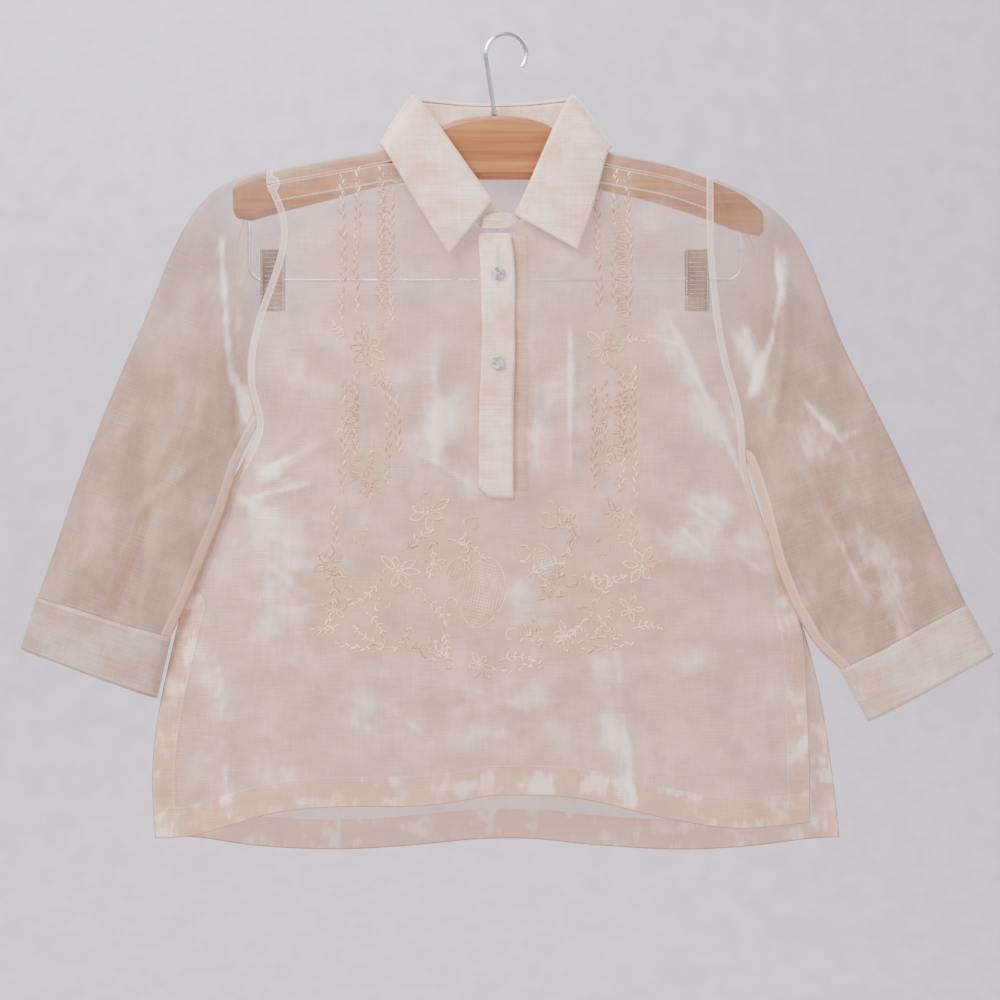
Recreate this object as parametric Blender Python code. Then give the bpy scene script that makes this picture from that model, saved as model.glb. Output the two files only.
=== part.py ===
"""A small sheer pullover dress shirt on a wooden trouser hanger, hung flat by its hook.

The row frame is +Z up with the front towards -Y. The origin is the inner top of the hook, where
the rail goes. Every table below is in millimetres in the garment's own frame: x to the right of
the placket's centre line, drop below the hook's inner top, y away from the viewer. Left and right
are the viewer's. A cloth piece is a mid surface that a Solidify modifier makes into a wall.
"""

import math

import bpy
from mathutils import Vector

MM = 0.001

# The centre line of the shirt hangs this far to the left of the hook's inner top.
CENTRE_LINE_X = -7.5

# Cloth walls. The sewn double pieces are the collar, the cuffs and the placket.
PANEL_THICK = 1.2
DOUBLE_THICK = 1.5
SEAM_GAP = 0.45

# Hanger sizes.
WOOD_THICK = 12.0
WOOD_ROUND = 5.0
HOOK_WIRE = 3.5
HOOK_RADIUS = 17.0
BAR_WIRE = 3.0
BAR_DROP = 204.0
BAR_LEFT = -207.0
BAR_RIGHT = 203.0
BAR_BEND = 11.0
CLIP_WIDTH = 20.0
CLIP_CENTRES = (-187.0, 167.0)

# The cloth lies this far from the hanger's middle plane over the shoulders.
SHOULDER_HALF = 7.6
WRAP_RISE = 5.0
FORWARD_SEAM = 13.0
EDGE_HALF = 0.8

# Placket sizes.
SLIT_HALF = 11.0
PLACKET_TOP = 166.5
PLACKET_END = 386.0
SLIT_END = 372.0
BUTTON_RADIUS = 5.5
BUTTON_THICK = 2.2
BUTTONS = ((1.0, 200.0), (0.5, 274.0))

# Top of the cloth over the shoulders, as x and drop. The hanger's arms follow it.
SHOULDER = ((-232, 126), (-222, 120.5), (-208, 116), (-194, 113), (-94, 94.5), (-81, 91.5),
            (79, 93.3), (93, 97), (145, 107), (180, 119), (207, 131), (222, 142), (232, 151))

# Armhole and side edges, as drop and x: one row for each place measured.
ARMHOLE_FRONT_LEFT = ((127, -192), (142, -183), (162, -178), (182, -181), (212, -191), (246, -203),
                      (275, -208), (304, -206), (323, -197))
ARMHOLE_FRONT_RIGHT = ((132, 180), (150, 180), (190, 181), (230, 185), (258, 189), (283, 195),
                       (303, 202), (330, 207), (354, 207))
ARMHOLE_BACK_LEFT = ((118, -192), (126, -199), (137, -207), (152, -214), (179, -220), (220, -222),
                     (262, -219), (296, -211), (323, -197))
ARMHOLE_BACK_RIGHT = ((124, 180), (134, 191), (147, 203), (166, 214), (200, 222), (228, 224),
                      (256, 223), (283, 221), (311, 217), (333, 212), (354, 207))
SIDE_LEFT = ((323, -197), (336, -201), (352, -210), (375, -223), (438, -248), (471, -261),
             (521, -273), (554, -280), (596, -286), (631, -287), (669, -284))
SIDE_RIGHT_FRONT = ((354, 207), (368, 209), (396, 219), (438, 234), (477, 249), (500, 256),
                    (554, 258), (605, 260), (656, 260))
SIDE_RIGHT_BACK = ((354, 207), (368, 209), (396, 219), (438, 234), (477, 250), (504, 259),
                   (543, 269), (588, 277), (625, 282), (670, 287))
VENT_TOP = 475.0

# Hems, as x and drop.
FRONT_HEM = ((-288, 670), (-250, 665), (-212, 653), (-174, 643), (-125, 640), (-81, 641), (-49, 639),
             (3, 631), (40, 631), (77, 635), (117, 645), (158, 654), (198, 659), (229, 661), (262, 655))
BACK_HEM = ((-290, 668), (-250, 671), (-206, 679), (-135, 682), (-68, 678), (3, 672), (26, 672),
            (67, 677), (158, 682), (229, 678), (257, 674), (290, 669))

# How far each panel stands from the middle plane away from its edges, as drop and depth.
FRONT_DEPTH = ((90, 7), (120, 7.4), (165, 10.5), (210, 14), (330, 17), (500, 18), (670, 20))
BACK_DEPTH = ((80, 9.5), (100, 8), (160, 9.5), (230, 12), (330, 13), (500, 12), (690, 12))
# The same at the armhole edges, as the share of the way down to the armpit and depth.
ARMHOLE_DEPTH = ((0, 7.6), (0.12, 8), (0.35, 10), (0.6, 9.5), (0.85, 5), (1, EDGE_HALF))

# The largest folds, each a ridge from one place to another: x, drop, x, drop, width and height.
FRONT_FOLDS = (
    (142, 215, 212, 385, 13, 4.0), (34, 215, 84, 375, 12, 3.0), (95, 505, 122, 650, 14, 3.5),
    (-206, 388, -132, 335, 9, 3.0), (-50, 210, -40, 375, 13, 3.0), (-218, 480, -196, 660, 16, 4.0),
    (74, 520, 78, 640, 8, 3.0), (-118, 500, -146, 650, 17, 3.5), (176, 530, 204, 662, 12, 3.5),
    (112, 345, 152, 440, 11, 2.5), (-150, 205, -188, 330, 12, 3.0), (-30, 545, -44, 640, 15, 2.5),
)
BACK_FOLDS = (
    (-215, 470, -228, 680, 14, 3.0), (-120, 430, -135, 684, 16, 3.5), (-20, 400, -16, 676, 16, 3.0),
    (78, 420, 96, 680, 15, 3.5), (178, 450, 200, 680, 14, 3.0), (-60, 180, -150, 330, 16, 2.5),
    (60, 180, 150, 340, 16, 2.5), (40, 545, 46, 678, 8, 2.5), (-190, 560, -180, 680, 8, 2.5),
)
# On a sleeve a fold runs from one share of the length and width to another.
SLEEVE_FOLDS = (
    (0.04, 0.30, 0.20, 0.98, 0.05, 3.5), (0.10, 0.25, 0.75, 0.30, 0.09, 2.0),
    (0.25, 0.70, 0.95, 0.72, 0.08, 2.0), (0.45, 0.85, 0.98, 0.45, 0.05, 1.5),
)

# Outer and inner edges of the sleeves, as x and drop from shoulder or armpit to cuff.
SLEEVE_OUTER_LEFT = ((-192, 113), (-208, 116), (-226, 122.5), (-245, 137), (-266, 170), (-290, 229),
                     (-323, 304), (-352, 379), (-372, 438), (-383, 468))
SLEEVE_INNER_LEFT = ((-197, 323), (-204, 335), (-215, 360), (-226, 396), (-244, 440), (-256, 470),
                     (-271, 501))
SLEEVE_OUTER_RIGHT = ((180, 119), (207, 129), (226, 141), (246, 159), (264, 195), (286, 254),
                      (316, 312), (345, 371), (374, 438), (391, 474))
SLEEVE_INNER_RIGHT = ((207, 354), (211, 365), (217, 385), (222, 405), (231, 440), (245, 475),
                      (264, 508), (285, 528))
CUFF_HEM_LEFT = ((-397, 512), (-283, 552))
CUFF_HEM_RIGHT = ((414, 517), (309, 571))
SLEEVE_HALF_DEPTH = ((0, 9), (0.25, 10), (0.6, 9), (1, 7.5))
SLEEVE_FORWARD = 8.0
CUFF_OVERLAP = 0.06
CUFF_BUTTON = 0.55

# Neck sections from the front left end round the back to the front right end. Each row has the
# sewn lower edge, the fold at the top and the free edge of the fall, each as x, drop and y.
COLLAR = (
    # x_low drop_low y_low   x_top drop_top y_top   x_fall drop_fall y_fall
    (-12.5, 163, -10.6, -3, 140, -13.5, -39, 185, -19.5),
    (-29, 145, -10.4, -20, 117, -12.8, -53, 163, -17.5),
    (-47, 127, -9.8, -37, 93, -11.6, -68, 139, -15.2),
    (-64, 111, -9.0, -54, 69, -9.8, -82, 115, -13.2),
    (-77.5, 96.5, -7.8, -64, 55, -6.8, -92, 98, -11.6),
    (-79, 89.5, -4.6, -67.5, 51.5, -2.8, -97, 91.5, -6.0),
    (-79, 88.6, 0.5, -68, 51, 1.5, -97.5, 90.5, 0.5),
    (-78, 89.0, 6.2, -65, 51, 6.0, -95, 93, 7.5),
    (-66, 88.0, 9.6, -54, 51.5, 9.2, -80, 97, 12.0),
    (-36, 84.5, 10.6, -32, 53.5, 10.6, -42, 99, 14.5),
    (0, 83, 11.0, -3, 54.5, 11.0, 0, 100, 15.5),
    (36, 84.5, 10.6, 27, 53.5, 10.6, 42, 99, 14.5),
    (64, 89.5, 9.6, 47, 51.5, 9.2, 78, 98, 12.0),
    (76, 90.8, 6.2, 57.5, 51, 6.0, 93, 95, 7.5),
    (77, 90.4, 0.5, 60.5, 51, 1.5, 95.5, 93.0, 0.5),
    (77, 91.3, -4.6, 60.5, 52, -2.8, 95, 94.0, -6.0),
    (75.5, 98.5, -7.8, 57.5, 56.5, -6.8, 91, 101, -11.6),
    (62, 113, -9.0, 49, 74, -9.8, 85, 124, -13.2),
    (45, 130, -9.8, 38, 99, -11.6, 80, 144, -15.2),
    (27, 147, -10.4, 26, 126, -12.8, 73.5, 163, -17.5),
    (12.5, 161, -10.8, 14, 151, -13.8, 67, 181, -19.5),
)
# The stand's ends cross below the throat: rows of x_low, drop_low, y_low, x_top, drop_top, y_top.
STAND_END_LEFT = ((2, 164, -10.4, 9, 153, -11.0),)
STAND_END_RIGHT = ((4, 163.5, -13.4, 5, 148, -15.0), (-13, 162.5, -14.2, -12, 153, -14.6))
FALL_ROLL = 2.2

# Upper and lower edges of the hanger's wood, as x and drop. Past the hump it follows SHOULDER.
WOOD_HUMP = ((-62, 85.5), (-50, 77.5), (-36, 71), (-20, 67.6), (0, 66.5), (20, 67.6), (36, 71.5),
             (50, 79), (62, 87))
WOOD_BOTTOM = ((-221, 150), (-210, 155), (-183, 148), (-128, 134), (-99, 126), (-60, 121), (-18, 120),
               (26, 120), (60, 122), (87, 129), (119, 136), (177, 154), (200, 163), (222, 168))
WOOD_ENDS = (-220.0, 222.0)


def read(table, at):
    """The second column of a table at a value of the first, on a smooth curve through its rows."""
    rows = [(float(a), float(b)) for a, b in table]
    if rows[0][0] > rows[-1][0]:
        rows.reverse()
    if at <= rows[0][0]:
        return rows[0][1]
    if at >= rows[-1][0]:
        return rows[-1][1]
    i = next(k for k in range(len(rows) - 1) if at <= rows[k + 1][0])
    slopes = [(rows[k + 1][1] - rows[k][1]) / (rows[k + 1][0] - rows[k][0]) for k in range(len(rows) - 1)]
    width = rows[i + 1][0] - rows[i][0]
    low = tangent(slopes, i) * width
    high = tangent(slopes, i + 1) * width
    t = (at - rows[i][0]) / width
    return hermite(rows[i][1], rows[i + 1][1], low, high, t)


def tangent(slopes, i):
    """Slope of the smooth curve at row i: none at a peak, so that it never overshoots a row."""
    if i == 0:
        return slopes[0]
    if i == len(slopes):
        return slopes[-1]
    before, after = slopes[i - 1], slopes[i]
    if before * after <= 0:
        return 0.0
    return 2 * before * after / (before + after)


def hermite(start, end, slope_start, slope_end, t):
    a = 2 * t ** 3 - 3 * t ** 2 + 1
    b = t ** 3 - 2 * t ** 2 + t
    c = -2 * t ** 3 + 3 * t ** 2
    d = t ** 3 - t ** 2
    return a * start + b * slope_start + c * end + d * slope_end


def along(rows, share):
    """The point at a share of the length of a smooth curve through rows of any number of columns."""
    points = [Vector(row) for row in rows]
    steps = [(b - a).length for a, b in zip(points, points[1:])]
    wanted = share * sum(steps)
    i = 0
    while i < len(steps) - 1 and wanted > steps[i]:
        wanted -= steps[i]
        i += 1
    t = min(1.0, wanted / steps[i])
    before = points[i - 1] if i > 0 else points[i] * 2 - points[i + 1]
    after = points[i + 2] if i + 2 < len(points) else points[i + 1] * 2 - points[i]
    low = (points[i + 1] - before) * (steps[i] / (steps[i] + (points[i] - before).length))
    high = (after - points[i]) * (steps[i] / (steps[i] + (after - points[i + 1]).length))
    return hermite(points[i], points[i + 1], low, high, t)


def mix(a, b, t):
    return a + (b - a) * t


def ease(t):
    t = min(1.0, max(0.0, t))
    return t * t * (3 - 2 * t)


def fold_height(folds, a, b):
    """Height of all the folds of a table at a place."""
    total = 0.0
    for a0, b0, a1, b1, width, height in folds:
        run_a, run_b = a1 - a0, b1 - b0
        length = math.hypot(run_a, run_b)
        t = ((a - a0) * run_a + (b - b0) * run_b) / length ** 2
        off = ((a - a0) * run_b - (b - b0) * run_a) / length
        fade = ease((t + 0.25) / 0.4) * ease((1.25 - t) / 0.4)
        total += height * fade * math.exp(-((off / width) ** 2))
    return total


def at(x, drop, y):
    """A point of the garment's frame in metres, +Z up."""
    return Vector((x, y, -drop)) * MM


def group(name, location):
    holder = bpy.data.objects.new(name, None)
    holder.location = location
    bpy.context.scene.collection.objects.link(holder)
    return holder


def material(name, colour, roughness, metallic=0.0):
    made = bpy.data.materials.new(name)
    made.use_nodes = True
    shader = made.node_tree.nodes["Principled BSDF"]
    shader.inputs["Base Color"].default_value = (*colour, 1.0)
    shader.inputs["Roughness"].default_value = roughness
    shader.inputs["Metallic"].default_value = metallic
    return made


def add_object(name, points, faces, finish):
    mesh = bpy.data.meshes.new(name)
    mesh.from_pydata([p[:] for p in points], [], faces)
    mesh.materials.append(finish)
    mesh.shade_smooth()
    made = bpy.data.objects.new(name, mesh)
    bpy.context.scene.collection.objects.link(made)
    made.parent = HUNG
    return made


def cloth_wall(name, grid, thick, finish, skip=(), ring=False):
    """A wall round a grid of points, rows of equal length. skip holds the (row, column) of the
    cells that are left out, and a ring's last column joins its first."""
    columns = len(grid[0])
    points = [p for row in grid for p in row]
    faces = []
    for r in range(len(grid) - 1):
        for c in range(columns if ring else columns - 1):
            if (r, c) not in skip:
                nxt = (c + 1) % columns
                faces.append((r * columns + c, (r + 1) * columns + c, (r + 1) * columns + nxt, r * columns + nxt))
    used = sorted({i for face in faces for i in face})
    place = {old: new for new, old in enumerate(used)}
    made = add_object(name, [points[i] for i in used], [tuple(place[i] for i in f) for f in faces], finish)
    wall = made.modifiers.new("Wall", "SOLIDIFY")
    wall.thickness = thick * MM
    wall.offset = 0.0
    wall.use_even_offset = True
    wall.use_quality_normals = True
    return made


def normals_of(grid):
    """Unit normals of a grid's points, on the side that its faces point to."""
    rows, columns = len(grid), len(grid[0])
    out = []
    for r in range(rows):
        line = []
        for c in range(columns):
            down = grid[min(r + 1, rows - 1)][c] - grid[max(r - 1, 0)][c]
            across = grid[r][min(c + 1, columns - 1)] - grid[r][max(c - 1, 0)]
            line.append(down.cross(across).normalized())
        out.append(line)
    return out


# The body panels

ARMHOLE_ROWS = 9
SKIRT_ROWS = 13
SHOULDER_COLUMNS = 5
NECK_COLUMNS = 4
SLIT_COLUMNS = 2
BACK_NECK_COLUMNS = 8
NECK_LEFT = -81.0
NECK_RIGHT = 79.0


def shares(count):
    return [i / count for i in range(count + 1)]


def front_top(x):
    """Drop of the front panel's upper edge: the forward shoulder seam, then the neckline."""
    if x <= NECK_LEFT or x >= NECK_RIGHT:
        return read(SHOULDER, x) + FORWARD_SEAM + SEAM_GAP
    if abs(x) <= SLIT_HALF:
        return 164.5
    neck = NECK_LEFT if x < 0 else NECK_RIGHT
    start = read(SHOULDER, neck) + FORWARD_SEAM + SEAM_GAP
    t = (abs(neck) - abs(x)) / (abs(neck) - SLIT_HALF)
    return mix(start, 164.5, t) + 4.0 * math.sin(math.pi * t)


def front_edge(side, row):
    """Drop and x of the front panel's edge in a row, side -1 on the left and 1 on the right."""
    armhole = ARMHOLE_FRONT_LEFT if side < 0 else ARMHOLE_FRONT_RIGHT
    seam = SIDE_LEFT if side < 0 else SIDE_RIGHT_FRONT
    return edge_place(armhole, seam, row)


def back_edge(side, row):
    armhole = ARMHOLE_BACK_LEFT if side < 0 else ARMHOLE_BACK_RIGHT
    seam = SIDE_LEFT if side < 0 else SIDE_RIGHT_BACK
    return edge_place(armhole, seam, row)


def edge_place(armhole, seam, row):
    if row <= ARMHOLE_ROWS:
        drop, x = along(armhole, row / ARMHOLE_ROWS)
    else:
        drop, x = along(seam, (row - ARMHOLE_ROWS) / SKIRT_ROWS)
    return drop, x


def edge_depth(row, drop, vent_depth):
    """How far a panel's edge stands from the middle plane: closed at the side seam only."""
    if row < ARMHOLE_ROWS:
        return read(ARMHOLE_DEPTH, row / ARMHOLE_ROWS)
    return EDGE_HALF + vent_depth * ease((drop - VENT_TOP - 12) / 110)


def panel_depth(row, x, drop, left, right, depths, folds, vent_depth):
    """Distance of a panel's mid surface from the middle plane."""
    edge = edge_depth(row, drop, vent_depth)
    inward = min(x - left, right - x)
    lift = ease((inward - 4) / 62)
    return edge + (read(depths, drop) - edge) * lift + fold_height(folds, x, drop) * ease(inward / 45)


def front_columns():
    """Places across the front: part 0 is left of the slit, 1 the slit and 2 right of it."""
    left_tip, right_tip = ARMHOLE_FRONT_LEFT[0][1], ARMHOLE_FRONT_RIGHT[0][1]
    neck = (NECK_LEFT - left_tip) / (-SLIT_HALF - left_tip)
    columns = [(0, neck * s) for s in shares(SHOULDER_COLUMNS)]
    columns += [(0, mix(neck, 1, s)) for s in shares(NECK_COLUMNS)[1:]]
    columns += [(1, s) for s in shares(SLIT_COLUMNS)[1:]]
    neck = (NECK_RIGHT - SLIT_HALF) / (right_tip - SLIT_HALF)
    columns += [(2, neck * s) for s in shares(NECK_COLUMNS)[1:]]
    columns += [(2, mix(neck, 1, s)) for s in shares(SHOULDER_COLUMNS)[1:]]
    return columns


def front_x(part, share, left, right):
    starts = ((left, -SLIT_HALF), (-SLIT_HALF, SLIT_HALF), (SLIT_HALF, right))
    return mix(*starts[part], share)


def panel_drop(row, top, armpit, hem):
    if row <= ARMHOLE_ROWS:
        return mix(top, armpit, row / ARMHOLE_ROWS)
    return mix(armpit, hem, (row - ARMHOLE_ROWS) / SKIRT_ROWS)


def front_point(row, part, share):
    drop_left, left = front_edge(-1, row)
    drop_right, right = front_edge(1, row)
    x = front_x(part, share, left, right)
    across = (x - left) / (right - left)
    first = front_x(part, share, ARMHOLE_FRONT_LEFT[0][1], ARMHOLE_FRONT_RIGHT[0][1])
    armpit = mix(ARMHOLE_FRONT_LEFT[-1][0], ARMHOLE_FRONT_RIGHT[-1][0], across)
    last = front_x(part, share, SIDE_LEFT[-1][1], SIDE_RIGHT_FRONT[-1][1])
    drop = panel_drop(row, front_top(first), armpit, read(FRONT_HEM, last))
    near = ease(1 - min(across, 1 - across) / 0.12)
    edge = drop_left if across < 0.5 else drop_right
    drop = mix(drop, edge, near if row > 0 else 0)
    depth = panel_depth(row, x, drop, left, right, FRONT_DEPTH, FRONT_FOLDS, 5.0)
    return at(x, drop, -depth)


def front_grid():
    rows = range(ARMHOLE_ROWS + SKIRT_ROWS + 1)
    return [[front_point(row, part, share) for part, share in front_columns()] for row in rows]


def slit_cells(grid):
    """Cells of the front that the placket's slit leaves out."""
    first = SHOULDER_COLUMNS + NECK_COLUMNS
    rows = [r for r in range(len(grid) - 1) if -grid[r + 1][first].z / MM < SLIT_END + 12]
    return {(r, first + c) for r in rows for c in range(SLIT_COLUMNS)}


def wrap_profile():
    """The back panel over the shoulder, from the forward seam to the back: y and drop below the top."""
    turns = [math.radians(a) for a in (-90, -45, 0, 45, 90)]
    arc = [(SHOULDER_HALF * math.sin(a), WRAP_RISE * (1 - math.cos(a))) for a in turns]
    return [(-SHOULDER_HALF, FORWARD_SEAM)] + arc


WRAP = wrap_profile()


def back_columns():
    left_tip, right_tip = ARMHOLE_BACK_LEFT[0][1], ARMHOLE_BACK_RIGHT[0][1]
    whole = right_tip - left_tip
    stops = [0, (NECK_LEFT - left_tip) / whole, (NECK_RIGHT - left_tip) / whole, 1]
    columns = [mix(stops[0], stops[1], s) for s in shares(SHOULDER_COLUMNS)]
    columns += [mix(stops[1], stops[2], s) for s in shares(BACK_NECK_COLUMNS)[1:]]
    columns += [mix(stops[2], stops[3], s) for s in shares(SHOULDER_COLUMNS)[1:]]
    return columns


def back_neckline(x):
    t = (x - NECK_LEFT) / (NECK_RIGHT - NECK_LEFT)
    ends = mix(read(SHOULDER, NECK_LEFT), read(SHOULDER, NECK_RIGHT), t) + WRAP_RISE
    return ends - 9.0 * math.sin(math.pi * min(1, max(0, t))) ** 0.7


def back_point(row, share):
    """A point of the back below the shoulder, where row 0 is the last of the wrap."""
    drop_left, left = back_edge(-1, row)
    drop_right, right = back_edge(1, row)
    x = mix(left, right, share)
    first = mix(ARMHOLE_BACK_LEFT[0][1], ARMHOLE_BACK_RIGHT[0][1], share)
    last = mix(SIDE_LEFT[-1][1], SIDE_RIGHT_BACK[-1][1], share)
    in_neck = NECK_LEFT < first < NECK_RIGHT
    top = back_neckline(first) if in_neck else read(SHOULDER, first) + WRAP_RISE
    armpit = mix(ARMHOLE_BACK_LEFT[-1][0], ARMHOLE_BACK_RIGHT[-1][0], share)
    drop = panel_drop(row, top, armpit, read(BACK_HEM, last))
    near = ease(1 - min(share, 1 - share) / 0.12)
    edge = drop_left if share < 0.5 else drop_right
    drop = mix(drop, edge, near if row > 0 else 0)
    depth = panel_depth(row, x, drop, left, right, BACK_DEPTH, BACK_FOLDS, 4.0)
    if row == 0 and not in_neck:
        depth = SHOULDER_HALF
    return at(x, drop, depth)


def back_grid():
    columns = back_columns()
    tips = (ARMHOLE_BACK_LEFT[0][1], ARMHOLE_BACK_RIGHT[0][1])
    rows = []
    for y, below in WRAP[:-1]:
        xs = [mix(*tips, share) for share in columns]
        rows.append([at(x, read(SHOULDER, x) + below, y) for x in xs])
    for row in range(ARMHOLE_ROWS + SKIRT_ROWS + 1):
        rows.append([back_point(row, share) for share in columns])
    return rows


def neck_cells():
    """Cells of the wrap between the neck points, which the neck opening leaves out."""
    return {(r, SHOULDER_COLUMNS + c) for r in range(len(WRAP) - 1) for c in range(BACK_NECK_COLUMNS)}


# The sleeves and cuffs

SLEEVE_ROWS = 16
CUFF_ROWS = 3


def armhole_ring(front, back, column):
    """The armhole loop from the front seam down to the armpit and up the back, as both panels have it."""
    down = [front[r][column] for r in range(ARMHOLE_ROWS + 1)]
    up = [back[r][column] for r in range(1, len(WRAP) - 1 + ARMHOLE_ROWS + 1)]
    return down + up[::-1]


def ring_places(ring):
    """For each point of an armhole loop, its side (-1 front, 1 back) and its share of the way down."""
    top, bottom = max(p.z for p in ring), min(p.z for p in ring)
    places = []
    for p in ring:
        side = 0 if abs(p.y) < 0.1 * MM else math.copysign(1, p.y)
        places.append((side, min(1.0, max(0.0, (top - p.z) / (top - bottom)))))
    return places


def sleeve_point(outer, inner, t, side, share):
    """A point of the sleeve's mid surface, t of the way down it and share of the way in from its
    outer edge, on its front (-1), its back (1) or its top edge (0)."""
    out_x, out_drop = along(outer, t)
    in_x, in_drop = along(inner, t)
    blunt = mix(5.0, 3.0, t)
    profile = max(0.0, 1 - abs(2 * share - 1) ** blunt) ** (1 / blunt)
    half = mix(EDGE_HALF, read(SLEEVE_HALF_DEPTH, t), profile)
    middle = -SLEEVE_FORWARD * ease((t - 0.04) / 0.24) * ease((share - 0.15) / 0.6)
    fold = fold_height(SLEEVE_FOLDS, t, share) * profile * (1 if side < 0 else 0.5)
    return at(mix(out_x, in_x, share), mix(out_drop, in_drop, share), middle + side * (half + fold))


def seam_gap(ring, i, hand):
    """The step from a point of an armhole loop to the sleeve's own edge, square to the seam."""
    armpit = ARMHOLE_ROWS
    wrap = len(ring) - (len(WRAP) - 1)
    if i == 0 or i > wrap:
        return Vector((hand * SEAM_GAP, 0, 0)) * MM
    if i <= armpit:
        down = ring[i] - ring[i - 1]
    else:
        down = ring[i] - ring[i + 1]
    away = Vector((-down.z, 0, down.x)).normalized() * hand
    close = ease(1 - abs(ring[i].z - ring[armpit].z) / (25 * MM))
    return away * (SEAM_GAP + 0.8 * close) * MM


def sleeve_grid(ring, outer, inner):
    """Rings from the armhole to the cuff. The first ones ease from the armhole's own shape."""
    places = ring_places(ring)
    hand = math.copysign(1, outer[0][0])
    ring = [p + seam_gap(ring, i, hand) for i, p in enumerate(ring)]
    rows = []
    for t in shares(SLEEVE_ROWS):
        pull = 1 - ease(t / 0.6)
        row = []
        for own, (side, share) in zip(ring, places):
            plain = sleeve_point(outer, inner, t, side, share)
            start = sleeve_point(outer, inner, 0.0, side, share)
            row.append(plain + (own - start) * pull)
        rows.append(row)
    return rows


def cuff_point(start_outer, start_inner, hem, t, turn, thick):
    """A point of the cuff: t down it, turn from 0 at the outer edge round the front to 2."""
    outer = [mix(a, b, t) for a, b in zip(start_outer, hem[0])]
    inner = [mix(a, b, t) for a, b in zip(start_inner, hem[1])]
    share = turn if turn <= 1 else 2 - turn
    side = -1 if turn <= 1 else 1
    profile = max(0.0, 1 - abs(2 * share - 1) ** 3.0) ** (1 / 3.0)
    half = mix(EDGE_HALF, read(SLEEVE_HALF_DEPTH, 1), profile)
    middle = -SLEEVE_FORWARD * ease((share - 0.15) / 0.6)
    return at(mix(outer[0], inner[0], share), mix(outer[1], inner[1], share), middle + side * (half + thick))


def cuff_grid(outer, inner, hem):
    """The cuff's band starts at the back, goes round and ends lapped over its own start."""
    lengths = [(Vector(a) - Vector(b[-1])).length for a, b in zip(hem, (outer, inner))]
    gap = SEAM_GAP / max(lengths)
    lap = [CUFF_OVERLAP * s for s in (1.0, 0.45)]
    turns = [1.5 - lap[0], 1.5 - lap[1], 1.5 + lap[1], 1.5 + lap[0]]
    turns += [1.68, 1.82, 1.92, 1.97, 2.0, 2.03, 2.08, 2.18, 2.34, 2.5, 2.66, 2.82, 2.92, 2.97, 3.0, 3.03, 3.08]
    turns += [3.18, 3.32, 3.5 - lap[0], 3.5 - lap[1], 3.5 + lap[1], 3.5 + lap[0]]
    rows = []
    for t in [gap + (1 - gap) * s for s in shares(CUFF_ROWS)]:
        row = []
        for turn in turns:
            over = ease((turn - 3.2) / 0.2) * (DOUBLE_THICK + 0.5)
            row.append(cuff_point(outer[-1], inner[-1], hem, t, turn % 2, over))
        rows.append(row)
    return rows


def sleeve_opening_grid(outer, inner):
    """The strip that binds the slit above the cuff, on the outside of the sleeve's back."""
    rows = []
    for t in [mix(0.34, 0.985, s) for s in shares(9)]:
        row = []
        for across in (-1, 0, 1):
            width = (Vector(along(inner, t)) - Vector(along(outer, t))).length
            place = sleeve_point(outer, inner, t, 1, 0.5 + across * 6.0 / width)
            row.append(place + Vector((0, 1.9, 0)) * MM)
        rows.append(row)
    return rows


# The collar and the placket

def collar_rows(columns):
    """The three edges at stations round the neck: lower, top and free, each a list of points. The
    stand's top edge stays inside the roll that the table gives."""
    edges = []
    for first in (0, 3, 6):
        rows = [row[first:first + 3] for row in COLLAR]
        smooth = []
        for i in range(len(rows) - 1):
            for s in range(columns):
                smooth.append(station(rows, i, s / columns))
        smooth.append(Vector(rows[-1]))
        edges.append([at(*p) for p in smooth])
    low, fold, free = edges
    ups, top = [], []
    for k, (a, b) in enumerate(zip(low, fold)):
        neck = (fold[min(k + 1, len(fold) - 1)] - fold[max(k - 1, 0)]).normalized()
        up = (b - a) - neck * (b - a).dot(neck)
        ups.append(up.normalized())
        top.append(b - up.normalized() * (FALL_ROLL + 0.9) * MM)
    return low, top, free, ups


def station(rows, i, t):
    """A point between two stations, on a curve that keeps to them."""
    points = [Vector(r) for r in rows]
    before = points[max(i - 1, 0)]
    after = points[min(i + 2, len(points) - 1)]
    low = (points[i + 1] - before) * 0.5
    high = (after - points[i]) * 0.5
    return hermite(points[i], points[i + 1], low, high, t)


def stand_grid():
    low, top, _, _ = collar_rows(2)
    left = [(at(*row[:3]), at(*row[3:])) for row in STAND_END_LEFT]
    right = [(at(*row[:3]), at(*row[3:])) for row in STAND_END_RIGHT]
    pairs = left[::-1] + list(zip(low, top)) + right
    return [[mix(b, a, s) for a, b in pairs] for s in shares(3)]


def fall_grid():
    """The collar's fall: it rolls over the stand's upper edge and comes down outside it."""
    _, top, free, ups = collar_rows(2)
    rows = [[] for _ in range(9)]
    for k, (b, c, up) in enumerate(zip(top, free, ups)):
        along_neck = top[min(k + 1, len(top) - 1)] - top[max(k - 1, 0)]
        out = up.cross(along_neck).normalized()
        foot = b + up * (0.5 + DOUBLE_THICK * 0.25) * MM
        centre = foot + out * FALL_ROLL * MM
        for i, angle in enumerate((180, 130, 80, 30)):
            turn = math.radians(angle)
            rows[i].append(centre + (out * math.cos(turn) + up * math.sin(turn)) * FALL_ROLL * MM)
        start = rows[3][-1]
        for i, s in enumerate((0.2, 0.4, 0.6, 0.8, 1.0)):
            bow = out * 1.2 * MM * math.sin(math.pi * s)
            rows[4 + i].append(mix(start, c, s) + bow)
    return rows


def front_depth_at(x, drop):
    """Distance of the front panel from the middle plane near the placket, without its edges."""
    return read(FRONT_DEPTH, drop) + fold_height(FRONT_FOLDS, x, drop)


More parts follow.
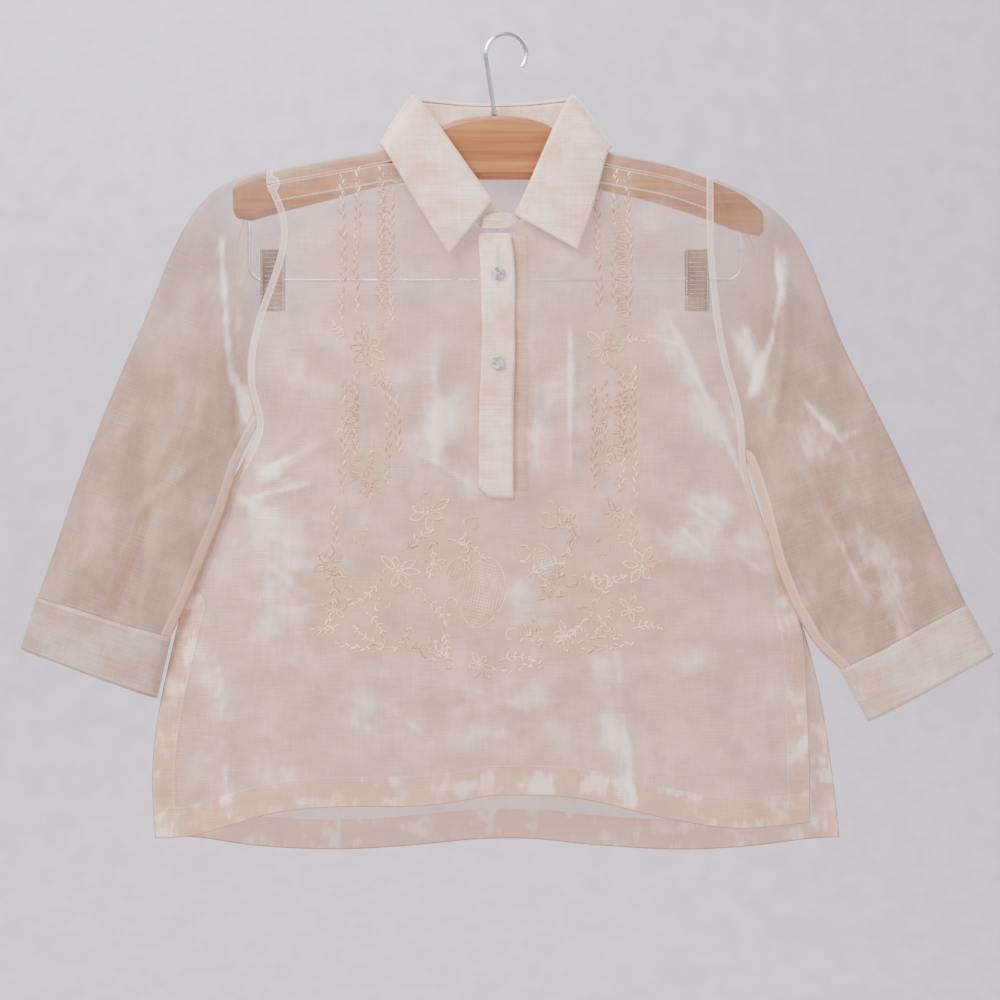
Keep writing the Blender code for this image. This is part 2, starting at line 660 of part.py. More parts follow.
PLACKET_EDGES = (
    # drop  left  right
    (PLACKET_TOP, -16.0, 11.0), (180, -15.0, 13.5), (195, -13.5, 15.0), (266, -12.5, 15.0), (301, -14.5, 14.0),
    (340, -15.0, 13.5), (376, -15.0, 13.5),
)


def placket_grid():
    """The outer placket, with its lower left corner cut off."""
    left = [(row[0], row[1]) for row in PLACKET_EDGES]
    right = [(row[0], row[2]) for row in PLACKET_EDGES]
    rows = []
    for s in shares(16):
        row = []
        for across in (0.0, 0.33, 0.66, 1.0):
            corner = 9.0 * max(0.0, 1 - across / 0.33)
            end = PLACKET_END - corner
            drop = mix(PLACKET_TOP, end, s)
            x = mix(read(left, min(drop, 376)), read(right, min(drop, 376)), across)
            lift = PANEL_THICK / 2 + DOUBLE_THICK / 2 + 0.45
            row.append(at(x, drop, -front_depth_at(x, drop) - lift))
        rows.append(row)
    return rows


def under_placket_grid():
    """The button side, behind the front panel."""
    rows = []
    for s in shares(14):
        drop = mix(PLACKET_TOP + 1, SLIT_END + 8, s)
        lift = PANEL_THICK / 2 + DOUBLE_THICK / 2 + 0.45
        xs = [mix(-16.0, 26.0, across) for across in shares(4)]
        rows.append([at(x, drop, -front_depth_at(x, drop) + lift) for x in xs])
    return rows


def button(name, place, facing):
    """A four-hole shirt button as a plain turned disc with a raised rim, its face towards facing."""
    profile = ((0, 0), (0.80, 0), (1.0, 0.3), (1.0, 0.75), (0.86, 1.0), (0.66, 0.8), (0, 0.72))
    sides = 16
    out = facing.normalized()
    across = out.cross(Vector((0, 0, 1))).normalized()
    up = across.cross(out)
    points = [place + out * (0.0), place + out * (profile[-1][1] * BUTTON_THICK * MM)]
    rings = []
    for radius, height in profile[1:-1]:
        ring = []
        for k in range(sides):
            a = 2 * math.pi * k / sides
            spoke = across * math.cos(a) + up * math.sin(a)
            ring.append(len(points))
            points.append(place + (spoke * radius * BUTTON_RADIUS + out * height * BUTTON_THICK) * MM)
        rings.append(ring)
    faces = []
    for k in range(sides):
        nxt = (k + 1) % sides
        faces.append((0, rings[0][k], rings[0][nxt]))
        faces.append((1, rings[-1][nxt], rings[-1][k]))
        for low, high in zip(rings, rings[1:]):
            faces.append((low[nxt], low[k], high[k], high[nxt]))
    return add_object(name, points, faces, BUTTON)


# The hanger

def wood_top(x):
    if WOOD_HUMP[0][0] <= x <= WOOD_HUMP[-1][0]:
        return read(WOOD_HUMP, x)
    return read(SHOULDER, x) + PANEL_THICK / 2 + 0.6 + 0.8 * ease((abs(x) - 160) / 15) + 2.4 * ease((abs(x) - 200) / 16)


def wood_section(x, squeeze):
    """A rounded upright section of the board. squeeze draws it in at the arm's end."""
    top, bottom = wood_top(x), read(WOOD_BOTTOM, x)
    middle, half = (top + bottom) / 2, (bottom - top) / 2
    tall, wide = half * squeeze, WOOD_THICK / 2 * (0.6 + 0.4 * squeeze)
    corner = min(WOOD_ROUND, wide, tall)
    points = []
    for quarter in range(4):
        cy = (wide - corner) * (1 if quarter in (0, 3) else -1)
        cz = (tall - corner) * (1 if quarter in (0, 1) else -1)
        for step in (0, 1, 2):
            a = math.radians(90 * quarter + 45 * step)
            points.append(at(x, middle - cz - corner * math.sin(a), cy + corner * math.cos(a)))
    return points


def build_wood():
    left, right = WOOD_ENDS
    inner = [mix(left + 3.5, right - 3.5, s) for s in shares(34)]
    stations = [(left, 0.72), (left + 1.2, 0.9)] + [(x, 1.0) for x in inner] + [(right - 1.2, 0.9), (right, 0.72)]
    rings = [wood_section(x, squeeze) for x, squeeze in stations]
    count = len(rings[0])
    points = [p for ring in rings for p in ring]
    faces = [tuple(reversed(range(count))), tuple(range(len(points) - count, len(points)))]
    for r in range(len(rings) - 1):
        for k in range(count):
            nxt = (k + 1) % count
            faces.append((r * count + k, r * count + nxt, (r + 1) * count + nxt, (r + 1) * count + k))
    return add_object("hanger_wood", points, faces, WOOD)


def wire(name, points, diameter, finish, collar=0):
    """A round wire through points, with a thicker collar on its first few points."""
    curve = bpy.data.curves.new(name, "CURVE")
    curve.dimensions = "3D"
    curve.bevel_depth = diameter / 2 * MM
    curve.bevel_resolution = 2
    curve.use_fill_caps = True
    spline = curve.splines.new("POLY")
    spline.points.add(len(points) - 1)
    for i, (spot, p) in enumerate(zip(spline.points, points)):
        spot.co = (*p, 1)
        spot.radius = 1.7 if i < collar else 1.0
    curve.materials.append(finish)
    made = bpy.data.objects.new(name, curve)
    bpy.context.scene.collection.objects.link(made)
    made.parent = HUNG
    return made


def arc(centre, radius, start, end, steps):
    """Points of an arc in the plane of the hanger, angles in degrees from +X upwards."""
    out = []
    for s in shares(steps):
        a = math.radians(mix(start, end, s))
        out.append(at(centre[0] + radius * math.cos(a), centre[1] - radius * math.sin(a), 0))
    return out


def build_hook():
    """The hook: a stem that leans to the left, then a turn to the right over the rail."""
    lean = 8.3
    centre = (-CENTRE_LINE_X, HOOK_RADIUS - HOOK_WIRE / 2)
    turn = arc(centre, HOOK_RADIUS, 180 + lean, -38, 22)
    foot = at(-2.0, read(WOOD_HUMP, -2.0) - 0.35, 0)
    stem = [foot, mix(foot, turn[0], 0.07), mix(foot, turn[0], 0.075), mix(foot, turn[0], 0.5)]
    return wire("hanger_hook", stem + turn, HOOK_WIRE, CHROME, collar=2)


def build_bar():
    """The trouser bar: a wire from one arm's underside down, across and up to the other."""
    left_top = read(WOOD_BOTTOM, BAR_LEFT) + 0.5
    right_top = read(WOOD_BOTTOM, BAR_RIGHT) + 1.0
    low = BAR_DROP - BAR_BEND
    points = [at(BAR_LEFT, left_top, 0), at(BAR_LEFT, low - 8, 0)]
    points += arc((BAR_LEFT + BAR_BEND, low), BAR_BEND, 180, 270, 6)
    points += [at(x, BAR_DROP, 0) for x in (-120, 0, 120)]
    points += arc((BAR_RIGHT - BAR_BEND, low), BAR_BEND, 270, 360, 6)
    points += [at(BAR_RIGHT, low - 8, 0), at(BAR_RIGHT, right_top, 0)]
    return wire("hanger_bar", points, BAR_WIRE, CHROME)


CLIP_OUTLINE = (
    # y and drop from the bar, round the side view of the two jaws
    (-6.2, -25), (-3.3, -4), (-3.3, 4), (-4.6, 18), (-1.2, 26), (1.2, 26), (4.6, 18), (3.3, 4), (3.3, -4),
    (6.2, -25), (4.8, -25), (0.0, -6), (-4.8, -25),
)


def build_clip(name, x):
    """A sprung clip on the bar, closed, its side view extruded along the bar."""
    left, right = x - CLIP_WIDTH / 2, x + CLIP_WIDTH / 2
    count = len(CLIP_OUTLINE)
    points = [at(left, BAR_DROP + drop, y) for y, drop in CLIP_OUTLINE]
    points += [at(right, BAR_DROP + drop, y) for y, drop in CLIP_OUTLINE]
    faces = [tuple(range(count)), tuple(reversed(range(count, 2 * count)))]
    for k in range(count):
        nxt = (k + 1) % count
        faces.append((k, count + k, count + nxt, nxt))
    made = add_object(name, points, faces, CHROME)
    bpy.ops.mesh.primitive_cylinder_add(
        vertices=16, radius=(BAR_WIRE / 2 + 0.35) * MM, depth=(CLIP_WIDTH + 8) * MM,
        location=at(x, BAR_DROP, 0), rotation=(0, math.radians(90), 0))
    bore = bpy.context.object
    bore.name = name + "_bore"
    bore.parent = HUNG
    bore.hide_render = True
    bore.display_type = "WIRE"
    cut = made.modifiers.new("Bore", "BOOLEAN")
    cut.object = bore
    cut.operation = "DIFFERENCE"
    return made


def build_body():
    front, back = front_grid(), back_grid()
    cloth_wall("front", front, PANEL_THICK, CLOTH, skip=slit_cells(front))
    cloth_wall("back", back, PANEL_THICK, CLOTH, skip=neck_cells())
    return front, back


def build_sleeves(front, back):
    sides = (
        ("left", 0, SLEEVE_OUTER_LEFT, SLEEVE_INNER_LEFT, CUFF_HEM_LEFT),
        ("right", -1, SLEEVE_OUTER_RIGHT, SLEEVE_INNER_RIGHT, CUFF_HEM_RIGHT),
    )
    for name, column, outer, inner, hem in sides:
        ring = armhole_ring(front, back, column)
        cloth_wall("sleeve_" + name, sleeve_grid(ring, outer, inner), PANEL_THICK, CLOTH, ring=True)
        cloth_wall("cuff_" + name, cuff_grid(outer, inner, hem), DOUBLE_THICK, DOUBLE_CLOTH)
        cloth_wall("sleeve_opening_" + name, sleeve_opening_grid(outer, inner), 1.0, DOUBLE_CLOTH)
        lift = 1.5 * DOUBLE_THICK + 0.5 + 0.4
        place, beside, below = (
            cuff_point(outer[-1], inner[-1], hem, t, turn, lift) for t, turn in ((0.5, 1.5), (0.5, 1.53), (0.6, 1.5)))
        facing = (beside - place).cross(below - place)
        button("cuff_button_" + name, place, facing * math.copysign(1, facing.y))


def build_placket():
    cloth_wall("placket", placket_grid(), DOUBLE_THICK, DOUBLE_CLOTH)
    cloth_wall("placket_under", under_placket_grid(), DOUBLE_THICK, DOUBLE_CLOTH)
    for i, (x, drop) in enumerate(BUTTONS):
        lift = PANEL_THICK / 2 + DOUBLE_THICK + 0.45 + 0.35
        button(f"button_{i + 1}", at(x, drop, -front_depth_at(x, drop) - lift), Vector((0, -1, 0)))


def clear_scene():
    for old in list(bpy.data.objects):
        bpy.data.objects.remove(old)


clear_scene()
HUNG = group("hung_from_hook", (CENTRE_LINE_X * MM, 0, 0))
CLOTH = material("sheer_cloth", (0.80, 0.70, 0.62), 0.55)
DOUBLE_CLOTH = material("double_cloth", (0.84, 0.76, 0.69), 0.5)
BUTTON = material("clear_button", (0.80, 0.78, 0.80), 0.15)
WOOD = material("varnished_wood", (0.56, 0.30, 0.17), 0.4)
CHROME = material("polished_wire", (0.75, 0.75, 0.78), 0.15, 1.0)

front_panel, back_panel = build_body()
build_sleeves(front_panel, back_panel)
cloth_wall("collar_stand", stand_grid(), DOUBLE_THICK, DOUBLE_CLOTH)
cloth_wall("collar_fall", fall_grid(), DOUBLE_THICK, DOUBLE_CLOTH)
build_placket()
build_wood()
build_hook()
build_bar()
for side, clip_x in zip(("left", "right"), CLIP_CENTRES):
    build_clip("hanger_clip_" + side, clip_x)
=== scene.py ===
# %% [markdown]
# # A sheer embroidered dress shirt on a wooden hanger
# The real shirt is cut from a stiff, very thin cloth that lets the hanger, the back and the
# seams show through it. The frame already holds every piece as a wall with its real outline.
# This lesson turns those walls into cloth: it takes the outer skin of each one, smooths it,
# creases it, and lets its material work out where the cloth lies double.

import math
import random
from functools import partialmethod

import bmesh
import bpy
import numpy as np
from mathutils import Matrix, Vector, noise
from mathutils.bvhtree import BVHTree
from mathutils.kdtree import KDTree


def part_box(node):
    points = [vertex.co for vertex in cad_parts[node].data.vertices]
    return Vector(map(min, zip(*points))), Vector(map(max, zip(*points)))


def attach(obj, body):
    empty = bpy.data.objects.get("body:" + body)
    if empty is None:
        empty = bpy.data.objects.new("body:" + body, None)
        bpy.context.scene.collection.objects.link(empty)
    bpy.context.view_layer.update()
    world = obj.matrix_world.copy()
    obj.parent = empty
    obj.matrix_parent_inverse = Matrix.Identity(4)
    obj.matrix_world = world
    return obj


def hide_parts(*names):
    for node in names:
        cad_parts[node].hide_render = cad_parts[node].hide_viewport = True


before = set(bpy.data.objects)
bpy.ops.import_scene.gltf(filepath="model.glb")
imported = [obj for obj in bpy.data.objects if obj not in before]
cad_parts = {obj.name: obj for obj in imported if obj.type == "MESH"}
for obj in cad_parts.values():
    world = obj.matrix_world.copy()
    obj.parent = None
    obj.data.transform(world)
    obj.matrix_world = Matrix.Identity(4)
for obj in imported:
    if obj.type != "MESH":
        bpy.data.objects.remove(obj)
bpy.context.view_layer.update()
MM = 0.001
CENTRE_LINE_X = -7.5
print("pieces in the frame:", len(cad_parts))

# %% [markdown]
# ## Camera and light
# The shirt is photographed square on against a pale wall. The camera looks straight at its middle
# through a long lens, so that the picture is nearly free of perspective. Large soft lights give
# the even studio light: the key from above left, a weaker fill from the right, and two that reach
# the backdrop and the shirt's back. A small one from above puts a line of light on the wire.

# %% Camera and lights
FRAME_WIDTH = 0.835
CAMERA_AWAY = 1.6
AIM = Vector((-0.005, 0.0, -0.3875))


def add_object(name, data):
    obj = bpy.data.objects.new(name, data)
    bpy.context.collection.objects.link(obj)
    return obj


camera = add_object("camera", bpy.data.cameras.new("camera"))
camera.location = AIM - Vector((0, CAMERA_AWAY, 0))
camera.rotation_euler = (math.radians(90), 0, 0)
camera.data.sensor_width = 36
camera.data.lens = camera.data.sensor_width * CAMERA_AWAY / FRAME_WIDTH
bpy.context.scene.camera = camera


def soft_light(name, place, size, watts, colour, target=AIM):
    """A square area light that faces the middle of the shirt, or another target."""
    lamp = bpy.data.lights.new(name, "AREA")
    lamp.size, lamp.energy, lamp.color = size, watts, colour
    holder = add_object(name, lamp)
    holder.location = place
    holder.rotation_euler = (target - Vector(place)).to_track_quat("-Z", "Y").to_euler()


soft_light("key", (-1.5, -1.3, 1.3), 1.0, 100, (1.0, 0.985, 0.96))
soft_light("fill", (1.7, -2.2, -0.2), 1.8, 30, (0.98, 0.985, 1.0))
soft_light("rear", (0.9, 1.5, 1.5), 1.2, 34, (1.0, 0.99, 0.98))
soft_light("catch_light", (-0.26, -1.18, 1.28), 0.34, 7, (1.0, 0.99, 0.98))
soft_light("backdrop_light", (-1.2, 1.6, 2.4), 1.6, 90, (1.0, 0.985, 1.0), Vector((0.2, 3.4, -0.5)))

world = bpy.data.worlds.new("room")
bpy.context.scene.world = world
world.use_nodes = True
world.node_tree.nodes["Background"].inputs["Color"].default_value = (0.93, 0.93, 1.0, 1)
world.node_tree.nodes["Background"].inputs["Strength"].default_value = 0.85
# Light goes through up to six layers of cloth here and there, each of which counts as a step.
bpy.context.scene.cycles.transparent_max_bounces = 32
print("lens", round(camera.data.lens, 1), "mm")

# %% [markdown]
# ## Shader maths as plain sums
# A material here is a short sum over patterns and distances. One small class wraps a socket, so
# that `1 - mask` or `mask * 0.3` adds the Math node by itself, and one method makes every other
# node. That keeps each material down to a few readable lines.

# %% A class for sockets and a class for finishes
NOISE_RANGE = (0.3, 0.7)


class Value:
    """A socket in a sum. The Math nodes come with the operators."""

    def __init__(self, finish, socket):
        self.finish, self.socket = finish, socket

    def sum(self, operation, other, turned=False):
        pair = (other, self) if turned else (self, other)
        return self.finish.node("Math", {"operation": operation}, dict(enumerate(pair)))

    __add__ = partialmethod(sum, "ADD")
    __radd__ = partialmethod(sum, "ADD", turned=True)
    __sub__ = partialmethod(sum, "SUBTRACT")
    __rsub__ = partialmethod(sum, "SUBTRACT", turned=True)
    __mul__ = partialmethod(sum, "MULTIPLY")
    __rmul__ = partialmethod(sum, "MULTIPLY", turned=True)
    __lt__ = partialmethod(sum, "LESS_THAN")
    __gt__ = partialmethod(sum, "GREATER_THAN")

    def to(self, low, high):
        """0 below low, 1 above high and a smooth rise between them."""
        limits = {"Value": self, "From Min": low, "From Max": high}
        return self.finish.node("MapRange", {"interpolation_type": "SMOOTHSTEP"}, limits)


class Finish:
    """A material with a Principled shader, and the one way that its other nodes are made."""

    def __init__(self, name, **constants):
        self.material = bpy.data.materials.new(name)
        self.material.use_nodes = True
        self.tree = self.material.node_tree
        self.shader = self.tree.nodes["Principled BSDF"]
        for socket, value in constants.items():
            self.shader.inputs[socket.replace("_", " ")].default_value = value

    def feed(self, socket, value):
        if isinstance(value, Value):
            self.tree.links.new(value.socket, socket)
        else:
            socket.default_value = value

    def node(self, kind, settings=None, values=None, out=0):
        node = self.tree.nodes.new("ShaderNode" + kind)
        for name, value in (settings or {}).items():
            setattr(node, name, value)
        for name, value in (values or {}).items():
            self.feed(node.inputs[name], value)
        return Value(self, node.outputs[out])

    def set(self, **values):
        for socket, value in values.items():
            self.feed(self.shader.inputs[socket.replace("_", " ")], value)

    def place(self, scale=(1, 1, 1), turn=(0, 0, 0)):
        """Object coordinates, turned and then stretched."""
        where = self.node("TexCoord", out=3)
        turned = self.node("Mapping", {"vector_type": "POINT"}, {"Vector": where, "Rotation": turn})
        return self.node("Mapping", {"vector_type": "POINT"}, {"Vector": turned, "Scale": scale})

    def noise(self, where, scale, detail=2.0, rough=0.5):
        sizes = {"Vector": where, "Scale": scale, "Detail": detail, "Roughness": rough}
        return self.node("TexNoise", None, sizes)

    def measure(self, name):
        """A number that the mesh carries at each of its points."""
        return self.node("Attribute", {"attribute_name": name}, out=2)

    def blend(self, mask, low, high):
        """A colour between two, each of them a Value or three numbers."""
        low, high = (part if isinstance(part, Value) else (*part, 1) for part in (low, high))
        return self.node("Mix", {"data_type": "RGBA"}, {0: mask, 6: low, 7: high}, out=2)

    def bump(self, height, distance, strength=1.0):
        return self.node("Bump", None, {"Height": height, "Distance": distance, "Strength": strength})


print("shader helpers ready")

# %% [markdown]
# ## The sheer cloth
# Fine threads with thicker ones among them, called slubs, cross in a plain weave. One layer hides
# about half of what lies behind it. Where the maker turned a hem or a seam, two or three
# layers lie together and the cloth looks denser and warmer. Where light would catch the stiff cloth,
# a paler sheen is painted into its colour, and a thin painted shadow darkens its edges.
# The mesh carries its distance from each edge, so the material can lay these bands exactly.

# %% Sheer cloth material
HEM_BAND, VENT_BAND, ARMHOLE_BAND, SHOULDER_BAND = 25.0, 19.0, 6.0, 15.0
BANDS = {
    "hem_mm": HEM_BAND, "vent_mm": VENT_BAND, "seam_mm": ARMHOLE_BAND, "shoulder_mm": SHOULDER_BAND,
}
FOLD_LINE = 1.3

THIN_CLOTH = (0.53, 0.305, 0.185)
FULL_CLOTH = (0.77, 0.505, 0.35)
PEACH = (0.66, 0.36, 0.21)
CREAM = (0.98, 0.76, 0.60)
# The colour of the painted sheen, where the cloth would catch the light.
PAINTED_SHEEN_COLOUR = (1.0, 0.80, 0.67)
EDGE_SHADE = (0.30, 0.18, 0.12)


def tint(colour, shade):
    return tuple(shade * part for part in colour)


def weave(finish, turned, coarse, fine):
    """The thicker threads of both directions, as noise drawn out across and along."""
    ways = (coarse, 1, fine), (fine, 1, coarse)
    return [finish.noise(finish.place(way, turned), 1.0, 1.0).to(*NOISE_RANGE) for way in ways]


def band(finish, name, width):
    """1 within a width in millimetres of an edge, and 0 beyond it."""
    return 1 - finish.measure(name).to(width - 0.5, width + 0.5)


def fold_lines(finish, name, width):
    """The two thicker lines of a turned edge: its fold, and where its raw side is tucked under."""
    away = finish.measure(name)
    return (away < FOLD_LINE) + (away > width - FOLD_LINE) * (away < width)


def sheer_cloth(name, turn=0.0, shade=1.0, cover=0.50):
    """The single cloth, whose threads are turned about the view's axis."""
    cloth = Finish(name, Roughness=0.42)
    turned = (0, turn, 0)
    across, along = weave(cloth, turned, 38, 1300)
    slubs = across * 0.55 + along * 0.45
    brushed = cloth.noise(cloth.place((190, 190, 50), turned), 1.0, 2.0, 0.6)
    cloud = cloth.measure("cloud")
    # Painted sheen: the paler colour that stands in for light caught by the stiff cloth, in spots,
    # lines and a brushed streak.
    painted_sheen_mask = (cloth.measure("lustre") + (brushed - 0.5) * 0.6).to(0.0, 1.15)

    hem, vent, seam, shoulder = (band(cloth, name, width) for name, width in BANDS.items())
    turned_edge = 1 - (1 - hem) * (1 - vent)
    doubled = 1 - (1 - turned_edge) * (1 - seam) * (1 - shoulder * 0.2)
    lines = 0
    for name, width in BANDS.items():
        lines = lines + fold_lines(cloth, name, width)
    fleck = cloth.measure("fleck")
    # Painted highlights in the turned bands: blotches of the sheen colour where the doubled cloth
    # would catch the light.
    glint = turned_edge * (fleck + (brushed - 0.5) * 0.6).to(0.42, 0.82)
    # A thin darker line along the hem, vent and armhole edges: partly the folded edge seen end on,
    # which is also denser, and partly painted contact shadow.
    rims = [1 - cloth.measure(edge).to(0.4, 1.3) for edge in ("hem_mm", "vent_mm", "seam_mm")]
    rim = rims[0] + rims[1] + rims[2] * 0.8
    peach = cloth.measure("peach")
    needle = cloth.measure("needle")

    depth = (cloud * 0.6 + slubs * 0.3 + fleck * 0.4 - 0.12).to(0.15, 0.9)
    ecru = cloth.blend(depth, tint(THIN_CLOTH, shade), tint(FULL_CLOTH, shade))
    warmth = (peach * (seam * 0.6 + 0.1) + needle * 0.55 + hem * 0.5 + vent * 0.2).to(0.0, 1.0)
    warm = cloth.blend(warmth, ecru, PEACH)
    layered = (lines * 0.4 + seam * 0.55 + shoulder * 0.15) * (1 - peach * 0.75)
    cream = cloth.blend(layered, warm, CREAM)
    pale = cloth.blend((painted_sheen_mask * 0.75 + glint * 0.5).to(0.0, 1.0), cream, PAINTED_SHEEN_COLOUR)
    cloth.set(Base_Color=cloth.blend(rim.to(0.0, 1.3), pale, EDGE_SHADE))

    single = cover - cloth.measure("airy") + slubs * 0.1 + painted_sheen_mask * 0.2
    extra = doubled * 0.18 + lines * 0.12 + needle * 0.1 + rim * 0.2 + glint * 0.12
    cloth.set(Alpha=(single + extra).to(0.0, 1.0))
    cloth.set(Normal=cloth.bump(across, 0.0003, 0.5))
    return cloth.material


LEAN_LEFT = math.radians(-19)
LEAN_RIGHT = math.radians(21)
BODY_CLOTH = sheer_cloth("sheer_cloth_body")
# The sleeves get a darker colour than the body, the left one darker than the right; the difference
# between the sides is painted shade.
SLEEVE_CLOTH = {
    "left": sheer_cloth("sheer_cloth_left", LEAN_LEFT, 0.66, 0.62),
    "right": sheer_cloth("sheer_cloth_right", LEAN_RIGHT, 0.70, 0.62),
}
print("sheer cloth ready")

# %% [markdown]
# ## The doubled cloth, and the other finishes
# Collar, cuffs and placket are two layers with a stiffener between them, pressed flat. They look
# paler and almost solid, with the slubs still drawn across them. The wood has a satin varnish over
# straight grain, the wire is bright, and the buttons are clear with a pearly depth.

# %% Other materials
def doubled_cloth(name, turn, shade=1.0):
    cloth = Finish(name, Roughness=0.44, Sheen_Weight=0.25)
    turned = (0, turn, 0)
    across, along = weave(cloth, turned, 24, 820)
    cloud = cloth.noise(cloth.place((34, 34, 40), turned), 1.0, 4.0, 0.62)
    slubs = across * 0.6 + along * 0.4
    paleness = (slubs * 0.35 + cloud * 1.5 - 0.55).to(0.0, 0.8)
    low, high = tint((0.74, 0.465, 0.32), shade), tint((1.0, 0.79, 0.65), shade)
    cloth.set(Base_Color=cloth.blend(paleness, low, high))
    cloth.set(Normal=cloth.bump(slubs * 0.1 + cloud, 0.003, 0.5))
    return cloth.material


COLLAR_CLOTH = doubled_cloth("doubled_cloth_collar", 0.0, 0.98)
PLACKET_CLOTH = doubled_cloth("doubled_cloth_placket", 0.0, 0.97)
# The cuffs get a darker colour than collar and placket, the left one much darker than the right; the
# difference between the sides is painted shade.
CUFF_CLOTH = {
    "left": doubled_cloth("doubled_cloth_left", LEAN_LEFT, 0.54),
    "right": doubled_cloth("doubled_cloth_right", LEAN_RIGHT, 0.70),
}


def two_tones(name, scale, low, high, detail=3.0, rough=0.5, limits=None, **constants):
    """A finish that runs between two colours over a noise, and the noise itself."""
    finish = Finish(name, **constants)
    pattern = finish.noise(finish.place(scale), 1.0, detail, rough)
    mask = pattern.to(*limits) if limits else pattern
    finish.set(Base_Color=finish.blend(mask, low, high))
    return finish, pattern


wood = Finish("varnished_wood", Roughness=0.38, Coat_Weight=0.25, Coat_Roughness=0.2)
grain = wood.noise(wood.place((7, 60, 230)), 1.0, 4.0, 0.6)
figure = wood.noise(wood.place((3, 20, 26)), 1.0, 2.0)
stripes = (grain * 0.6 + figure * 0.4).to(*NOISE_RANGE)
wood.set(Base_Color=wood.blend(stripes, (0.24, 0.078, 0.02), (0.47, 0.185, 0.058)))
wood.set(Normal=wood.bump(grain, 0.0003, 0.4))

wire, wear = two_tones(
    "bright_wire", (60, 60, 60), (0.30, 0.30, 0.32), (0.62, 0.62, 0.64), Metallic=1.0)
wire.set(Roughness=0.14 + wear * 0.16)

bar_wire, _ = two_tones(
    "bar_wire", (26, 90, 90), (0.60, 0.60, 0.63), (0.95, 0.95, 0.97), 2.0, 0.5, (0.35, 0.6),
    Metallic=1.0, Roughness=0.3)

clip_steel, polish = two_tones(
    "clip_steel", (900, 60, 60), (0.05, 0.048, 0.048), (0.20, 0.19, 0.185), Metallic=0.85)
clip_steel.set(Roughness=0.25 + polish * 0.25)

pearl, _ = two_tones(
    "pearl_button", (300, 300, 300), (0.20, 0.185, 0.20), (0.66, 0.62, 0.65), 3.0, 0.7, (0.35, 0.65),
    Roughness=0.12, Coat_Weight=0.8, Coat_Roughness=0.05)

sewing, _ = two_tones(
    "sewing_thread", (900, 900, 900), (0.70, 0.52, 0.40), (0.92, 0.78, 0.66), 1.0, Roughness=0.5)

WOOD, WIRE, BAR_WIRE, CLIP_STEEL, PEARL, SEWING = (
    finish.material for finish in (wood, wire, bar_wire, clip_steel, pearl, sewing))


def floss(name, low, high):
    thread = Finish(name, Roughness=0.38, Sheen_Weight=0.3)
    twist = thread.noise(thread.place((700, 700, 700)), 1.0, 2.0)
    age = thread.noise(thread.place((30, 30, 30)), 1.0, 4.0, 0.65)
    paleness = (twist * 0.35 + age.to(0.35, 0.65) * 0.75).to(0.1, 0.95)
    thread.set(Base_Color=thread.blend(paleness, low, high))
    return thread.material


THREAD = floss("embroidery_thread", (0.68, 0.41, 0.26), (1.0, 0.78, 0.59))
# The darker thread: a second strand in the cords, and painted shadow beside the pale stitches.
DARK_THREAD_AND_PAINTED_SHADOW = floss("embroidery_thread_dark_and_painted_shadow", (0.36, 0.17, 0.09), (0.72, 0.38, 0.22))
print("materials:", len(bpy.data.materials))

# %% [markdown]
# ## The backdrop
# The shirt hangs before a plain pale wall. One bent sheet serves as wall and floor, with a wide
# sweep between them so that no corner line shows. It stands well behind the shirt, because then
# the soft light reaches it evenly and a camera can also look at the shirt from behind.

# %% Backdrop
FLOOR_Z = -1.6
WALL_Y = 3.4
SWEEP = 0.9
HALF_WIDE = 3.8

paper, mottle = two_tones(
    "pale_backdrop", (15, 15, 15), (0.65, 0.60, 0.665), (0.72, 0.68, 0.735), 4.0, 0.6, NOISE_RANGE,
    Roughness=0.85)
paper.set(Normal=paper.bump(mottle, 0.001, 0.25))

profile = [(-3.4, FLOOR_Z)]
for k in range(13):
    a = math.radians(90 * k / 12)
    profile.append((WALL_Y - SWEEP + SWEEP * math.sin(a), FLOOR_Z + SWEEP - SWEEP * math.cos(a)))
profile.append((WALL_Y, 2.6))
corners = [(x, y, z) for y, z in profile for x in (-HALF_WIDE, HALF_WIDE)]
strips = [(2 * k, 2 * k + 1, 2 * k + 3, 2 * k + 2) for k in range(len(profile) - 1)]
sheet = bpy.data.meshes.new("backdrop")
sheet.from_pydata(corners, [], strips)
sheet.materials.append(paper.material)
sheet.shade_smooth()
add_object("backdrop", sheet)
print("backdrop", WALL_Y, "m behind the shirt, floor at", FLOOR_Z, "m")

# %% [markdown]
# ## From wall to cloth
# A cloth wall in the frame has an outer skin, an inner skin and a narrow rim that joins them. The
# rim's faces are known by their short edges, as long as the wall is thick. Without them the two
# skins fall apart, and the outer one is kept as the cloth. Its triangles are joined back into the
# quads that they came from, and a Subdivision Surface turns those into a smooth fine sheet.

# %% Take the outer skin of a wall
def free_mesh(obj):
    """An object's mesh as a bmesh, free to be changed."""
    made = bmesh.new()
    made.from_mesh(obj.data)
    return made


def own_copy(name):
    """A frame piece as a mesh of joined quads."""
    made = free_mesh(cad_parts[name])
    bmesh.ops.remove_doubles(made, verts=made.verts, dist=0.00002)
    bmesh.ops.join_triangles(
        made, faces=made.faces, angle_face_threshold=math.radians(40),
        angle_shape_threshold=math.radians(60))
    made.faces.ensure_lookup_table()
    return made


def islands(made):
    """Groups of faces that hang together."""
    left, groups = dict.fromkeys(made.faces), []
    while left:
        group, edge_of = [], [left.popitem()[0]]
        while edge_of:
            face = edge_of.pop()
            group.append(face)
            for edge in face.edges:
                for near in edge.link_faces:
                    if near in left:
                        del left[near]
                        edge_of.append(near)
        groups.append(group)
    return groups


def facing_out(group, middle_y):
    return sum(f.calc_area() * f.normal.y * (f.calc_center_median().y - middle_y) for f in group)


